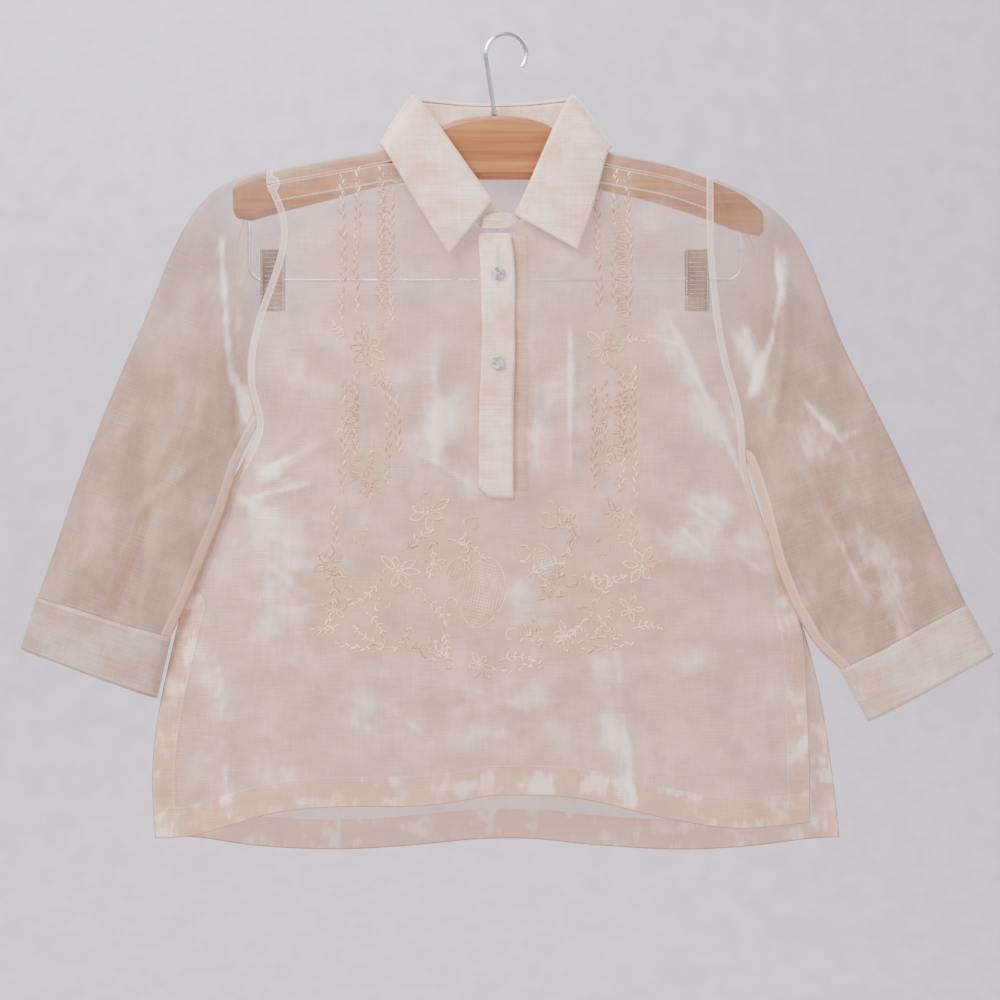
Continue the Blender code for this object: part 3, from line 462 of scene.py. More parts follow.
def outer_skin(name, thick, middle_y=0.0):
    """The outer skin of a cloth wall of that thickness in millimetres."""
    made = own_copy(name)
    short = {e for e in made.edges if 0.75 * thick < e.calc_length() / MM < 1.6 * thick}
    rim = [f for f in made.faces if len([e for e in f.edges if e in short]) >= 2]
    bmesh.ops.delete(made, geom=rim, context="FACES")
    groups = sorted(islands(made), key=lambda g: facing_out(g, middle_y))
    spare = [f for g in groups[:-1] for f in g]
    bmesh.ops.delete(made, geom=spare, context="FACES")
    print(name, "skins", len(groups), "faces", len(made.faces))
    return made


def new_object(name, made, material):
    mesh = bpy.data.meshes.new(name)
    made.to_mesh(mesh)
    made.free()
    mesh.materials.append(material)
    mesh.shade_smooth()
    return add_object(name, mesh)


def settle(obj):
    """Works the modifiers into a plain mesh and takes them off."""
    graph = bpy.context.evaluated_depsgraph_get()
    graph.update()
    plain = bpy.data.meshes.new_from_object(obj.evaluated_get(graph))
    obj.modifiers.clear()
    obj.data = plain
    return obj


def smooth(obj, levels):
    subdivide = obj.modifiers.new("Smooth", "SUBSURF")
    subdivide.levels = levels
    subdivide.render_levels = levels
    subdivide.boundary_smooth = "PRESERVE_CORNERS"
    return settle(obj)


# %% [markdown]
# ## Measuring on the cloth
# Each panel's points get their distance, in millimetres, to the hem, the side vents and the seams.
# It is worked out in the plane of the shirt, as one would lay a ruler on it.

# %% Distances to edges
FAR_AWAY = 999.0


def coordinates(obj):
    flat = np.empty(len(obj.data.vertices) * 3)
    obj.data.vertices.foreach_get("co", flat)
    return flat


def flat_places(obj):
    """Every point as x from the shirt's centre line and drop below the hook, in millimetres."""
    points = coordinates(obj).reshape(-1, 3)
    return np.column_stack((points[:, 0] / MM - CENTRE_LINE_X, -points[:, 2] / MM))


def ruler(places, lines):
    """The least distance from each place to any of the straight pieces of the lines."""
    best = np.full(len(places), FAR_AWAY)
    for start, end in lines:
        a, b = np.array(start), np.array(end)
        run = b - a
        share = np.clip(((places - a) @ run) / max(run @ run, 1e-9), 0, 1)
        best = np.minimum(best, np.linalg.norm(places - a - share[:, None] * run, axis=1))
    return best


def edge_lines(obj, wanted):
    """The straight pieces of a sheet's open edge whose middle passes a test of x and drop."""
    made, lines = free_mesh(obj), []
    for edge in made.edges:
        if edge.is_boundary:
            ends = [(v.co.x / MM - CENTRE_LINE_X, -v.co.z / MM) for v in edge.verts]
            middle = [(p + q) / 2 for p, q in zip(*ends)]
            run = [q - p for p, q in zip(*ends)]
            if wanted(middle[0], middle[1], abs(run[0]) > abs(run[1])):
                lines.append(ends)
    made.free()
    return lines


def store(obj, **measures):
    """Writes measures on a mesh, each a number for every point or one for them all."""
    for name, values in measures.items():
        layer = obj.data.attributes.new(name, "FLOAT", "POINT")
        layer.data.foreach_set("value", np.full(len(layer.data), values, dtype=np.float32))


def polyline(points):
    return list(zip(points, points[1:]))


def ease(t):
    t = np.clip(t, 0, 1)
    return t * t * (3 - 2 * t)


def crease(places, folds):
    """Height of the creases in a table at each place, in millimetres."""
    total = np.zeros(len(places))
    for x0, d0, x1, d1, width, height in folds:
        run = np.array((x1 - x0, d1 - d0), dtype=float)
        length = np.linalg.norm(run)
        offset = places - np.array((x0, d0))
        t = offset @ run / length**2
        off = (offset[:, 0] * run[1] - offset[:, 1] * run[0]) / length
        fade = ease((t + 0.15) / 0.4) * ease((1.15 - t) / 0.4)
        total += height * fade * np.exp(-((off / width) ** 2))
    return total


def soft_spots(places, patches):
    """Soft spots by x, drop, half width, half height, tilt and strength: of painted sheen, or of
    where the cloth lets more through.
    """
    total = np.zeros(len(places))
    for x, drop, wide, high, tilt, strength in patches:
        a = math.radians(tilt)
        dx, dd = places[:, 0] - x, places[:, 1] - drop
        u = dx * math.cos(a) + dd * math.sin(a)
        v = -dx * math.sin(a) + dd * math.cos(a)
        total += strength * np.exp(-((u / wide) ** 2) - ((v / high) ** 2))
    return total


def nearest(places, points):
    """The distance from each place to the nearest of the points."""
    tree = KDTree(len(points))
    for k, (x, drop) in enumerate(points):
        tree.insert((x, drop, 0), k)
    tree.balance()
    return np.array([tree.find((x, drop, 0))[2] for x, drop in places])


def near_stitches(obj, plan, reach=9.0):
    """1 beside a stitch of the plan, falling to 0 at a reach in millimetres."""
    return 1 - ease(nearest(flat_places(obj), [stitch[:2] for stitch in plan]) / reach)


def cloudy(obj, size, octaves, seed, squash=1.0):
    """Fractal noise at each point from 0 to 1, of a size in millimetres, different on each layer."""
    values = []
    for (x, drop), vertex in zip(flat_places(obj), obj.data.vertices):
        layer = seed + (5.0 if vertex.co.y > 0 else 0.0)
        place = Vector((x / size, drop / (size * squash), layer))
        values.append(noise.fractal(place, 0.8, 2.1, octaves))
    return np.clip(0.5 + 0.5 * np.array(values), 0, 1)


def crumple(obj, seed):
    """Height of many small pressed-in creases, in millimetres."""
    ridges = 1 - np.abs(cloudy(obj, 34, 2, seed, 1.4) - 0.5) * 6
    return 0.5 * (cloudy(obj, 44, 3, seed + 1) - 0.5) + 0.35 * np.clip(ridges, 0, 1)


def push(obj, heights, way):
    """Moves points along Y by heights in millimetres, way -1 towards the viewer."""
    flat = coordinates(obj)
    flat[1::3] += way * heights * MM
    obj.data.vertices.foreach_set("co", flat)
    obj.data.update()


# %% [markdown]
# ## The front and the back
# The creases are listed, each from one place to another with its own width and height:
# pulls from the armholes, long soft folds beside the placket, and short dents above the hem. The
# sheen where the stiff cloth catches the light is painted into its colour as soft paler spots and
# lines, and a few darker spots and lines are painted shade.

# %% Front and back panels
FRONT_CREASES = (
    # x, drop, x, drop, width, height
    (-196, 372, -136, 338, 4.0, 1.6), (-205, 392, -150, 372, 3.5, 1.3),
    (-192, 356, -150, 318, 4.0, 1.2), (143, 240, 212, 384, 6.0, 2.2),
    (160, 300, 196, 350, 4.0, -1.5), (66, 225, 60, 372, 5.0, 1.6), (78, 240, 92, 380, 5.0, -1.4),
    (-50, 270, -44, 372, 6.0, 1.4), (-66, 250, -60, 352, 6.0, -1.2), (96, 505, 116, 640, 6.0, 2.0),
    (70, 530, 74, 640, 3.0, -1.4), (176, 392, 212, 470, 6.0, 1.6), (-228, 520, -214, 640, 5.0, 1.5),
    (-160, 330, -176, 262, 6.0, 1.4), (152, 420, 176, 392, 4.0, 1.2),
    (112, 455, 158, 425, 4.0, 1.2), (-96, 560, -40, 580, 7.0, 1.0), (0, 556, 60, 590, 7.0, 1.0),
    (186, 520, 206, 640, 5.0, -1.4), (-150, 150, -110, 175, 6.0, 1.2),
    (120, 150, 160, 200, 7.0, 1.2), (-190, 560, -150, 600, 6.0, 1.0),
    (150, 560, 196, 590, 5.0, 1.2), (-20, 610, 40, 600, 6.0, 0.8),
)
BACK_CREASES = (
    (-150, 200, -190, 330, 7.0, 1.6), (150, 210, 196, 350, 7.0, 1.6),
    (-60, 300, -50, 560, 8.0, 1.5), (40, 320, 60, 600, 8.0, 1.5), (-160, 480, -176, 660, 6.0, 1.4),
    (150, 500, 170, 664, 6.0, 1.4), (-20, 130, -60, 220, 8.0, 1.0), (30, 130, 70, 230, 8.0, 1.0),
    (0, 560, 10, 664, 5.0, 1.2),
)
FRONT_PAINTED_SHEEN = (
    # x, drop, half width, half height, tilt, strength: spots of painted sheen, and of painted shade
    # where the strength is below 0
    (-170, 440, 50, 80, 6, 0.35), (-70, 330, 40, 60, 0, 0.25), (20, 560, 60, 40, 0, 0.2),
    (176, 560, 40, 60, 0, -0.3), (-30, 640, 60, 20, 0, -0.3), (-160, 150, 40, 24, 0, -0.3),
    (130, 190, 40, 40, 0, -0.25), (-60, 590, 30, 20, 0, -0.2), (-150, 262, 26, 22, 20, 0.45),
    (-46, 330, 14, 44, 0, 0.55), (36, 316, 16, 46, 8, 0.6), (168, 300, 12, 70, -27, 0.65),
    (176, 392, 30, 16, 30, 0.55), (150, 420, 26, 26, -20, 0.5), (62, 290, 7, 60, -3, 0.5),
    (-186, 366, 24, 6, 30, 0.6), (-210, 390, 30, 8, 30, 0.5), (90, 560, 10, 52, -12, 0.5),
    (196, 436, 34, 24, -30, 0.35), (-20, 560, 60, 26, 0, 0.35), (-100, 560, 36, 30, 0, 0.35),
    (-236, 560, 14, 60, -8, 0.5), (206, 560, 24, 44, -10, 0.4), (-176, 470, 26, 60, 10, 0.25),
    (30, 470, 50, 30, 0, 0.35), (160, 520, 24, 30, 0, 0.35), (-200, 600, 36, 26, 0, 0.3),
    (-20, 380, 12, 20, 0, 0.4), (-176, 180, 30, 24, 0, 0.25), (126, 170, 30, 30, 0, 0.35),
    (140, 610, 36, 20, 0, 0.35), (-70, 200, 26, 40, 0, 0.2),
)
FRONT_CREASE_HIGHLIGHTS_AND_SHADE = (
    # painted highlights and painted shade in bright and dark lines of the same form as the creases,
    # the last number their strength
    (142, 237, 214, 387, 2.2, 0.9), (150, 232, 222, 380, 3.0, -0.4), (61, 222, 60, 376, 1.6, 0.7),
    (66, 222, 65, 376, 2.0, -0.3), (-52, 262, -50, 360, 4.0, 0.5), (-198, 365, -154, 343, 1.8, 0.9),
    (-206, 386, -150, 372, 1.5, 0.7), (-192, 376, -146, 352, 2.0, -0.5),
    (28, 232, 34, 372, 3.0, 0.45), (190, 300, 224, 392, 3.0, 0.6), (160, 392, 186, 410, 2.0, 0.6),
    (150, 408, 172, 430, 1.6, 0.5), (98, 500, 112, 640, 2.2, 0.6), (104, 500, 118, 640, 2.5, -0.35),
    (-232, 500, -222, 640, 2.0, 0.5), (-30, 540, 40, 566, 2.5, 0.35),
    (-90, 556, -50, 590, 3.0, 0.35), (-190, 440, -150, 470, 2.5, 0.4),
    (-176, 480, -130, 470, 2.0, 0.4), (196, 430, 226, 452, 2.0, 0.5),
    (120, 250, 160, 262, 2.0, 0.35), (-160, 250, -120, 242, 2.0, 0.3),
    (-66, 290, -30, 280, 2.0, 0.4), (-60, 350, -26, 372, 2.5, 0.45), (14, 300, 56, 290, 2.0, 0.35),
    (30, 380, 66, 402, 2.2, 0.35), (-20, 600, 10, 632, 2.0, 0.3), (176, 590, 216, 616, 2.0, 0.35),
)
AIRY_SPOTS = (
    # where the single layer lets most light through: over the hanger's wood and round its clips
    (-186, 205, 34, 40, 0, 0.13), (166, 205, 34, 40, 0, 0.13), (-215, 146, 26, 26, 0, 0.2),
    (210, 146, 26, 26, 0, 0.2), (-150, 128, 60, 26, -14, 0.24), (146, 128, 60, 26, 14, 0.24),
    (-96, 206, 90, 9, 0, 0.1), (90, 206, 90, 9, 0, 0.1),
)
# Painted sheen on the back, in the same columns as the front's.
BACK_PAINTED_SHEEN = (
    (-120, 200, 50, 40, 20, 0.5), (130, 240, 30, 80, -20, 0.5), (0, 330, 40, 90, 0, 0.35),
    (-150, 500, 40, 90, 5, 0.4), (150, 540, 36, 90, -6, 0.4), (10, 600, 70, 40, 0, 0.35),
    (262, 620, 18, 40, 0, 0.6), (-258, 600, 20, 50, 0, 0.5),
)


def everywhere(x, drop, level):
    return True


def is_hem(x, drop, level):
    return drop > 600 and level


def is_vent(x, drop, level):
    return drop > 476 and abs(x) > 180 and not level


def is_side(x, drop, level):
    return 318 < drop <= 476 and abs(x) > 180


def is_armhole(x, drop, level):
    return drop <= (323 if x < 0 else 354) and abs(x) > 172 and not is_shoulder(x, drop, level)


def is_shoulder(x, drop, level):
    return drop < 140 and level and 78 < abs(x) < 186


def area_line(obj):
    area = sum(p.area for p in obj.data.polygons)
    return f"{obj.name} {len(obj.data.polygons)} faces, area {area:.4f}"


WALL = 1.2
EDGE_CALM = 20  # creases die out over this many millimetres towards an edge
CHEST_DROP = 190  # above it the shirt hangs free of its back and lets more light through
front = smooth(new_object("front_cloth", outer_skin("front", WALL), BODY_CLOTH), 3)
back = smooth(new_object("back_cloth", outer_skin("back", WALL), BODY_CLOTH), 3)
for panel, creases, spots, way in (
    (front, FRONT_CREASES, FRONT_PAINTED_SHEEN, -1), (back, BACK_CREASES, BACK_PAINTED_SHEEN, 1),
):
    places = flat_places(panel)
    edges = ruler(places, edge_lines(panel, everywhere))
    push(panel, (crease(places, creases) * 1.3 - crumple(panel, 3.0)) * ease(edges / EDGE_CALM), way)
    cloud = cloudy(panel, 42, 5, 1.0, 0.8)
    above = 1 - ease((places[:, 1] - CHEST_DROP) / 130)
    crease_highlights_and_shade = crease(places, FRONT_CREASE_HIGHLIGHTS_AND_SHADE) * 0.8 if panel is front else 0
    sides = edge_lines(panel, is_side) + edge_lines(panel, is_armhole)
    store(
        panel, cloud=cloud, fleck=cloudy(panel, 24, 3, 11.0, 0.8),
        airy=0.03 * above + soft_spots(places, AIRY_SPOTS),
        lustre=(soft_spots(places, spots) + crease_highlights_and_shade) * (0.5 + cloud) + (cloud - 0.5) * 0.75 + 0.1,
        hem_mm=ruler(places, edge_lines(panel, is_hem)),
        vent_mm=ruler(places, edge_lines(panel, is_vent)),
        seam_mm=ruler(places, sides), shoulder_mm=ruler(places, edge_lines(panel, is_shoulder)),
        peach=ease((places[:, 1] - 330) / 60))
    print(area_line(panel))

# %% [markdown]
# ## The sleeves
# Each sleeve is a flattened tube with one seam under the arm. The same steps serve, with the
# distance to the underarm line in place of the side seam.

# %% Sleeves
UNDERARM = {
    "left": (
        (-197, 323), (-204, 335), (-215, 360), (-226, 396), (-244, 440), (-256, 470), (-271, 501),
    ),
    "right": (
        (207, 354), (211, 365), (217, 385), (222, 405), (231, 440), (245, 475), (264, 508),
        (285, 528),
    ),
}
SLEEVE_CREASES = {
    "left": (
        (-214, 230, -222, 340, 5, 1.6), (-240, 170, -262, 330, 9, 1.5),
        (-262, 360, -250, 470, 6, 1.4), (-300, 300, -330, 470, 9, 1.4),
        (-284, 380, -300, 500, 5, -1.0), (-226, 340, -300, 400, 5, 1.0),
        (-340, 440, -300, 490, 6, 1.0), (-232, 400, -280, 430, 4, 1.0),
    ),
    "right": (
        (236, 168, 240, 256, 5, 2.2), (240, 256, 226, 330, 5, 2.0), (222, 250, 206, 300, 4, -1.4),
        (262, 330, 300, 500, 8, 1.5), (300, 320, 350, 470, 9, 1.4), (226, 372, 290, 420, 5, 1.2),
        (320, 430, 300, 520, 6, 1.2), (244, 440, 300, 470, 5, 1.0), (280, 250, 310, 330, 8, -1.2),
    ),
}
# Painted sheen on the sleeves, in the same columns as the front's.
SLEEVE_PAINTED_SHEEN = {
    "left": (
        (-205, 300, 8, 40, 14, 0.7), (-214, 240, 7, 50, 4, 0.6), (-236, 190, 12, 50, 14, 0.35),
        (-300, 330, 16, 70, 20, 0.25), (-250, 420, 10, 50, 20, 0.3), (-340, 440, 26, 30, 0, 0.2),
    ),
    "right": (
        (207, 250, 15, 20, 20, 1.0), (216, 280, 9, 26, -18, 0.8), (238, 200, 6, 50, 0, 0.5),
        (266, 330, 26, 34, -20, 0.45), (300, 420, 26, 60, -22, 0.4), (330, 450, 26, 30, 0, 0.3),
        (246, 440, 10, 60, -24, 0.4), (340, 500, 30, 16, 20, 0.4),
    ),
}
# Painted highlights along the folds of each sleeve's front layer, in the form of the creases.
SLEEVE_PAINTED_HIGHLIGHTS = {
    "left": (
        (-229, 158, -225, 232, 3.2, 0.8), (-225, 225, -221, 288, 3.6, 0.8),
        (-221, 280, -204, 322, 4.6, 0.8),
    ),
    "right": (
        (226, 136, 235, 216, 2.8, 0.7), (235, 214, 226, 262, 2.8, 0.9),
        (226, 256, 208, 306, 4.0, 0.7), (250, 300, 286, 340, 2.6, 0.6),
        (282, 338, 318, 322, 2.2, 0.4), (268, 392, 306, 470, 2.6, 0.4),
    ),
}
UNDERARM_BAND = 8.0


def beside(places, node, reach):
    """0 near a narrow CAD node, rising to 1 from 0.8 to 1.8 times a reach in millimetres from it."""
    return ease(nearest(places, flat_places(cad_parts[node])) / reach - 0.8)


SIDES = ("left", "right")
SLEEVE_MIDDLE_Y = -0.004
SLEEVE_EDGE_CALM, UNDERARM_CALM = 16, 14

sleeves = {}
for side in SIDES:
    skin = outer_skin(f"sleeve_{side}", WALL, SLEEVE_MIDDLE_Y)
    sleeve = smooth(new_object(f"sleeve_{side}_cloth", skin, SLEEVE_CLOTH[side]), 3)
    places = flat_places(sleeve)
    edges = ruler(places, edge_lines(sleeve, everywhere))
    underarm = ruler(places, polyline(UNDERARM[side]))
    depth = np.array([v.co.y for v in sleeve.data.vertices])
    shown = np.where(depth < SLEEVE_MIDDLE_Y, -1.0, 1.0)
    inward = ease(edges / SLEEVE_EDGE_CALM) * ease(underarm / UNDERARM_CALM)
    folds = crease(places, SLEEVE_CREASES[side]) * np.where(shown < 0, 1.2, 0.5)
    inward *= np.where(shown > 0, beside(places, f"sleeve_opening_{side}", 12.0), 1.0)
    push(sleeve, (folds - crumple(sleeve, 7.0)) * inward, shown)
    cloud = cloudy(sleeve, 36, 5, 2.0, 1.5)
    above = 1 - ease((places[:, 1] - CHEST_DROP) / 120)
    spots = soft_spots(places, SLEEVE_PAINTED_SHEEN[side]) + crease(places, SLEEVE_PAINTED_HIGHLIGHTS[side]) * (shown < 0)
    store(
        sleeve, cloud=cloud, fleck=cloud, airy=0.10 * above + soft_spots(places, AIRY_SPOTS),
        lustre=spots * (0.5 + cloud) + (cloud - 0.5) * 0.6 - 0.05,
        seam_mm=underarm * ARMHOLE_BAND / UNDERARM_BAND,
        hem_mm=FAR_AWAY, vent_mm=FAR_AWAY, shoulder_mm=FAR_AWAY,
        peach=0.35 + 0.65 * ease((places[:, 1] - 300) / 80), needle=0.0)
    sleeves[side] = sleeve
    print(area_line(sleeve))

# %% [markdown]
# ## Collar, cuffs and placket
# These pieces are thick enough to show an edge, so the whole wall is kept. Edges that turn
# sharply get a full crease before the subdivision. That keeps the collar's points pointed while
# its roll becomes round.

# %% Doubled pieces
SHARP = math.radians(42)


def pressed_piece(name, material, levels=2):
    made = own_copy(name)
    creases = made.edges.layers.float.new("crease_edge")
    for edge in made.edges:
        if edge.calc_face_angle(0) > SHARP:
            edge[creases] = 1.0
    return smooth(new_object(name + "_cloth", made, material), levels)


collar_fall = pressed_piece("collar_fall", COLLAR_CLOTH)
collar_stand = pressed_piece("collar_stand", COLLAR_CLOTH)
placket = pressed_piece("placket", PLACKET_CLOTH)
placket_under = pressed_piece("placket_under", PLACKET_CLOTH)
cuffs = {side: pressed_piece(f"cuff_{side}", CUFF_CLOTH[side]) for side in SIDES}
openings = {side: pressed_piece(f"sleeve_opening_{side}", SLEEVE_CLOTH[side]) for side in SIDES}
for piece in openings.values():
    push(piece, np.full(len(piece.data.vertices), 0.4), 1)
    store(
        piece, lustre=0.1, cloud=0.5, fleck=0.5, airy=0.12, hem_mm=FAR_AWAY, vent_mm=FAR_AWAY,
        shoulder_mm=FAR_AWAY, seam_mm=2.5, peach=0.9, needle=0.0)
doubled = [collar_fall, collar_stand, placket, placket_under, *cuffs.values(), *openings.values()]
for piece in doubled:
    print(area_line(piece))

# %% [markdown]
# ## Stitches by Geometry Nodes
# A stitch is a small spindle of thread. Sewing and embroidery are thousands of them, so a
# Geometry Nodes tree sets one on each point of a plan. Each point says how its stitch is turned
# and how long, wide and high it is. The last nodes make the copies real and give them the thread.

# %% The stitch tree
def spindle():
    """One stitch: a six-sided spindle of unit length along X."""
    made = bmesh.new()
    rings = []
    for x, radius in ((-0.32, 0.36), (0.0, 0.5), (0.32, 0.36)):
        turns = [2 * math.pi * k / 6 for k in range(6)]
        rings.append([made.verts.new((x, radius * math.cos(a), radius * math.sin(a))) for a in turns])
    tips = [made.verts.new((-0.5, 0, 0)), made.verts.new((0.5, 0, 0))]
    for k in range(6):
        near = (k + 1) % 6
        made.faces.new((tips[0], rings[0][near], rings[0][k]))
        made.faces.new((tips[1], rings[2][k], rings[2][near]))
        for low, high in zip(rings, rings[1:]):
            made.faces.new((low[k], low[near], high[near], high[k]))
    bmesh.ops.recalc_face_normals(made, faces=made.faces)
    return new_object("stitch_shape", made, THREAD)


STITCH = spindle()


def stitch_tree():
    tree = bpy.data.node_groups.new("stitches", "GeometryNodeTree")
    for label, kind, way in (
        ("Plan", "Geometry", "INPUT"), ("Stitch", "Object", "INPUT"),
        ("Thread", "Material", "INPUT"), ("Stitches", "Geometry", "OUTPUT"),
    ):
        tree.interface.new_socket(label, in_out=way, socket_type="NodeSocket" + kind)
    given, made = tree.nodes.new("NodeGroupInput"), tree.nodes.new("NodeGroupOutput")
    shape, copies, real, finish, turn, size = (tree.nodes.new("GeometryNode" + kind) for kind in (
        "ObjectInfo", "InstanceOnPoints", "RealizeInstances", "SetMaterial", "InputNamedAttribute",
        "InputNamedAttribute"))
    for node, name in ((turn, "turn"), (size, "size")):
        node.data_type = "FLOAT_VECTOR"
        node.inputs["Name"].default_value = name
    link = tree.links.new
    link(given.outputs["Stitch"], shape.inputs["Object"])
    link(given.outputs["Plan"], copies.inputs["Points"])
    link(shape.outputs["Geometry"], copies.inputs["Instance"])
    link(turn.outputs[0], copies.inputs["Rotation"])
    link(size.outputs[0], copies.inputs["Scale"])
    link(copies.outputs[0], real.inputs[0])
    link(real.outputs[0], finish.inputs["Geometry"])
    link(given.outputs["Thread"], finish.inputs["Material"])
    link(finish.outputs[0], made.inputs[0])
    return tree


STITCHES = stitch_tree()


def sew(name, stitches, material):
    """A mesh of stitches. Each is its middle, its direction, the surface's normal and its length,
    width and height, all in metres."""
    mesh = bpy.data.meshes.new(name)
    mesh.from_pydata([s[0] for s in stitches], [], [])
    turns, sizes = [], []
    for _, way, normal, size in stitches:
        z = normal.normalized()
        x = (way - z * way.dot(z)).normalized()
        y = z.cross(x)
        turns.extend(Matrix((x, y, z)).transposed().to_euler())
        sizes.extend(size)
    for label, values in (("turn", turns), ("size", sizes)):
        mesh.attributes.new(label, "FLOAT_VECTOR", "POINT").data.foreach_set("vector", values)
    obj = add_object(name, mesh)
    modifier = obj.modifiers.new("Stitches", "NODES")
    modifier.node_group = STITCHES
    sockets = {item.name: item.identifier for item in STITCHES.interface.items_tree}
    modifier[sockets["Stitch"]] = STITCH
    modifier[sockets["Thread"]] = material
    settle(obj)
    obj.data.shade_smooth()
    print(name, len(stitches), "stitches,", len(obj.data.polygons), "faces")
    return obj


# %% [markdown]
# ## Embroidery
# The front carries pale embroidery in a traditional layout: twisted rope columns down each side of
# the placket, looped flowers at their ends, and a curved panel of sprays, tendrils and drawn-thread
# filling below. Each motif is a small function that lays stitches on the flat shirt, and a ray from
# in front then sets every stitch on the cloth.

# %% Motifs
# a flat stitch is its x, drop, angle, length and width
random.seed(7)


def at(place, angle, run, side=0.0):
    """The place that lies a run along an angle from another, and a step to its side."""
    x, drop = place
    return (
        x + run * math.cos(angle) - side * math.sin(angle),
        drop + run * math.sin(angle) + side * math.cos(angle),
    )


def rope(x0, d0, x1, d1, pitch=8.8, wide=1.1, width=1.7, phase=0.0):
    """A twisted cord: short stitches that lean to and fro along a line."""
    length = math.hypot(x1 - x0, d1 - d0)
    way = math.atan2(d1 - d0, x1 - x0)
    made = []
    for k in range(int(length / pitch * 2)):
        run = pitch / 2 * (k + 0.5) + random.uniform(-0.5, 0.5)
        hand = 1 if k % 2 else -1
        side = hand * wide * random.uniform(0.6, 1.2) + 0.8 * math.sin(phase + run / 17)
        if random.random() < 0.88:
            size = 6.2 * random.uniform(0.7, 1.1), width * random.uniform(0.7, 1.1)
            made.append((*at((x0, d0), way, run, side), way - hand * 0.42, *size))
    return made


def ladder(x0, x1, top, bottom, step=2.6):
    """Loose cross stitches that fill a narrow column."""
    made, drop = [], top
    while drop < bottom:
        middle = (x0 + x1) / 2 + random.uniform(-1, 1)
        lean, share = random.uniform(-0.5, 0.5), random.uniform(0.5, 1.0)
        made.append((middle, drop, lean, (x1 - x0) * share, 0.8))
        drop += step * random.uniform(0.7, 1.3)
    return made


def painted_shadow_stitches(plan, share=0.6):
    """Darker stitches beside some of the pale ones, as painted shadow of the raised thread."""
    made = []
    for x, drop, angle, length, width in plan:
        if random.random() < share:
            off = random.choice((-1, 1)) * (width * 0.45 + 0.35)
            made.append((*at((x, drop), angle, 0.0, off), angle, length, width * 0.8))
    return made


def trail(points, pitch=2.8, width=1.05):
    """Stem stitch along a line of places."""
    made = []
    for (x0, d0), (x1, d1) in zip(points, points[1:]):
        length = math.hypot(x1 - x0, d1 - d0)
        count = max(1, round(length / pitch))
        way = math.atan2(d1 - d0, x1 - x0)
        for k in range(count):
            t = (k + 0.5) / count
            place = x0 + (x1 - x0) * t, d0 + (d1 - d0) * t
            made.append((*place, way + 0.16, length / count * 1.25, width))
    return made


def loop_petal(x, drop, angle, length, width):
    """A petal outlined by one loop of thread and held at its tip."""
    tip = at((x, drop), angle, length)
    made = []
    for hand in (-1, 1):
        outline = [(x, drop)]
        for run, share in ((0.3, 0.8), (0.62, 1.0), (0.86, 0.62)):
            reach = width / 2 * share * random.uniform(0.8, 1.2)
            out = at((x, drop), angle + hand * math.pi / 2, reach)
            outline.append(at(out, angle, length * run))
        made += trail([*outline, tip], 3.4, 0.95)
    made.append((*tip, angle, 2.6, 1.0))
    return made


def flower(x, drop, radius, petals=6, spin=0.2):
    made = []
    for k in range(petals):
        angle = spin + 2 * math.pi * k / petals + random.uniform(-0.25, 0.25)
        reach = radius * random.uniform(0.65, 1.15)
        made += loop_petal(*at((x, drop), angle, radius * 0.18), angle, reach, radius * 0.42)
    for k in range(5):
        made.append((*at((x, drop), k * 1.26, 1.1), k * 1.26, 1.8, 1.4))
    return made


def spray(x, drop, angle, length, pairs=4, leaf=6.2, bend=0.35):
    """A bending stem with pairs of satin leaves and one at its end."""
    made, place, way = [], (x, drop), math.radians(angle)
    for k in range(pairs):
        nxt = at(place, way, length / pairs)
        made += trail([place, nxt])
        for hand in (-1, 1):
            out = way + hand * random.uniform(0.6, 0.85)
            size = leaf * (1 - 0.12 * k) * random.uniform(0.85, 1.1)
            made.append((*at(nxt, out, size * 0.55), out, size, size * random.uniform(0.2, 0.32)))
        place, way = nxt, way + bend / pairs * 2
    made.append((*at(place, way, leaf * 0.6), way, leaf, leaf * 0.28))
    return made


def tendril(x, drop, radius, hand=1, turn=0):
    """A stem that curls in on itself and ends in a leaf."""
    curl = []
    for k in range(15):
        angle = math.radians(turn + hand * 22 * k)
        curl.append(at((x, drop), angle, radius * (1.5 - 0.085 * k) * random.uniform(0.94, 1.06)))
    leaf = (*curl[0], math.radians(turn + hand * 60), radius * 0.9, radius * 0.32)
    return [leaf] + [stitch for stitch in trail(curl, 2.6, 1.0) if random.random() < 0.85]


def filling(x, drop, wide, high, tilt, pitch=2.6):
    """Drawn-thread filling: a fine grid inside a pointed oval."""
    made, a = [], math.radians(tilt)
    for axis in (0, 1):
        reach, cross = (high, wide) if axis == 0 else (wide, high)
        k = -reach + pitch / 2
        while k < reach:
            half = cross * (1 - (k / reach) ** 2) ** 0.8 * random.uniform(0.7, 1.0)
            u, v = (0, k) if axis == 0 else (k, 0)
            made.append((*at((x, drop), a, u, v), a + axis * math.pi / 2, 2 * half, 0.55))
            k += pitch
    rim = []
    for k in range(25):
        t = 2 * math.pi * k / 24
        out = wide * math.copysign(abs(math.cos(t)) ** 1.3, math.cos(t))
        rim.append(at((x, drop), a, out, high * math.sin(t)))
    return made + [stitch for stitch in trail(rim, 2.6, 0.85) if random.random() < 0.8]


# %% [markdown]
# ## Laying the embroidery out
# The layout is written down as plain tables of places, chosen for the balance of the whole
# front and not taken from a picture. Pale thread lies on top; darker stitches beside it are painted
# shadow, and the darker cords are partly a second strand and partly painted shade. The cloth keeps
# the distance to the nearest stitch, because it is tinted around the thread.

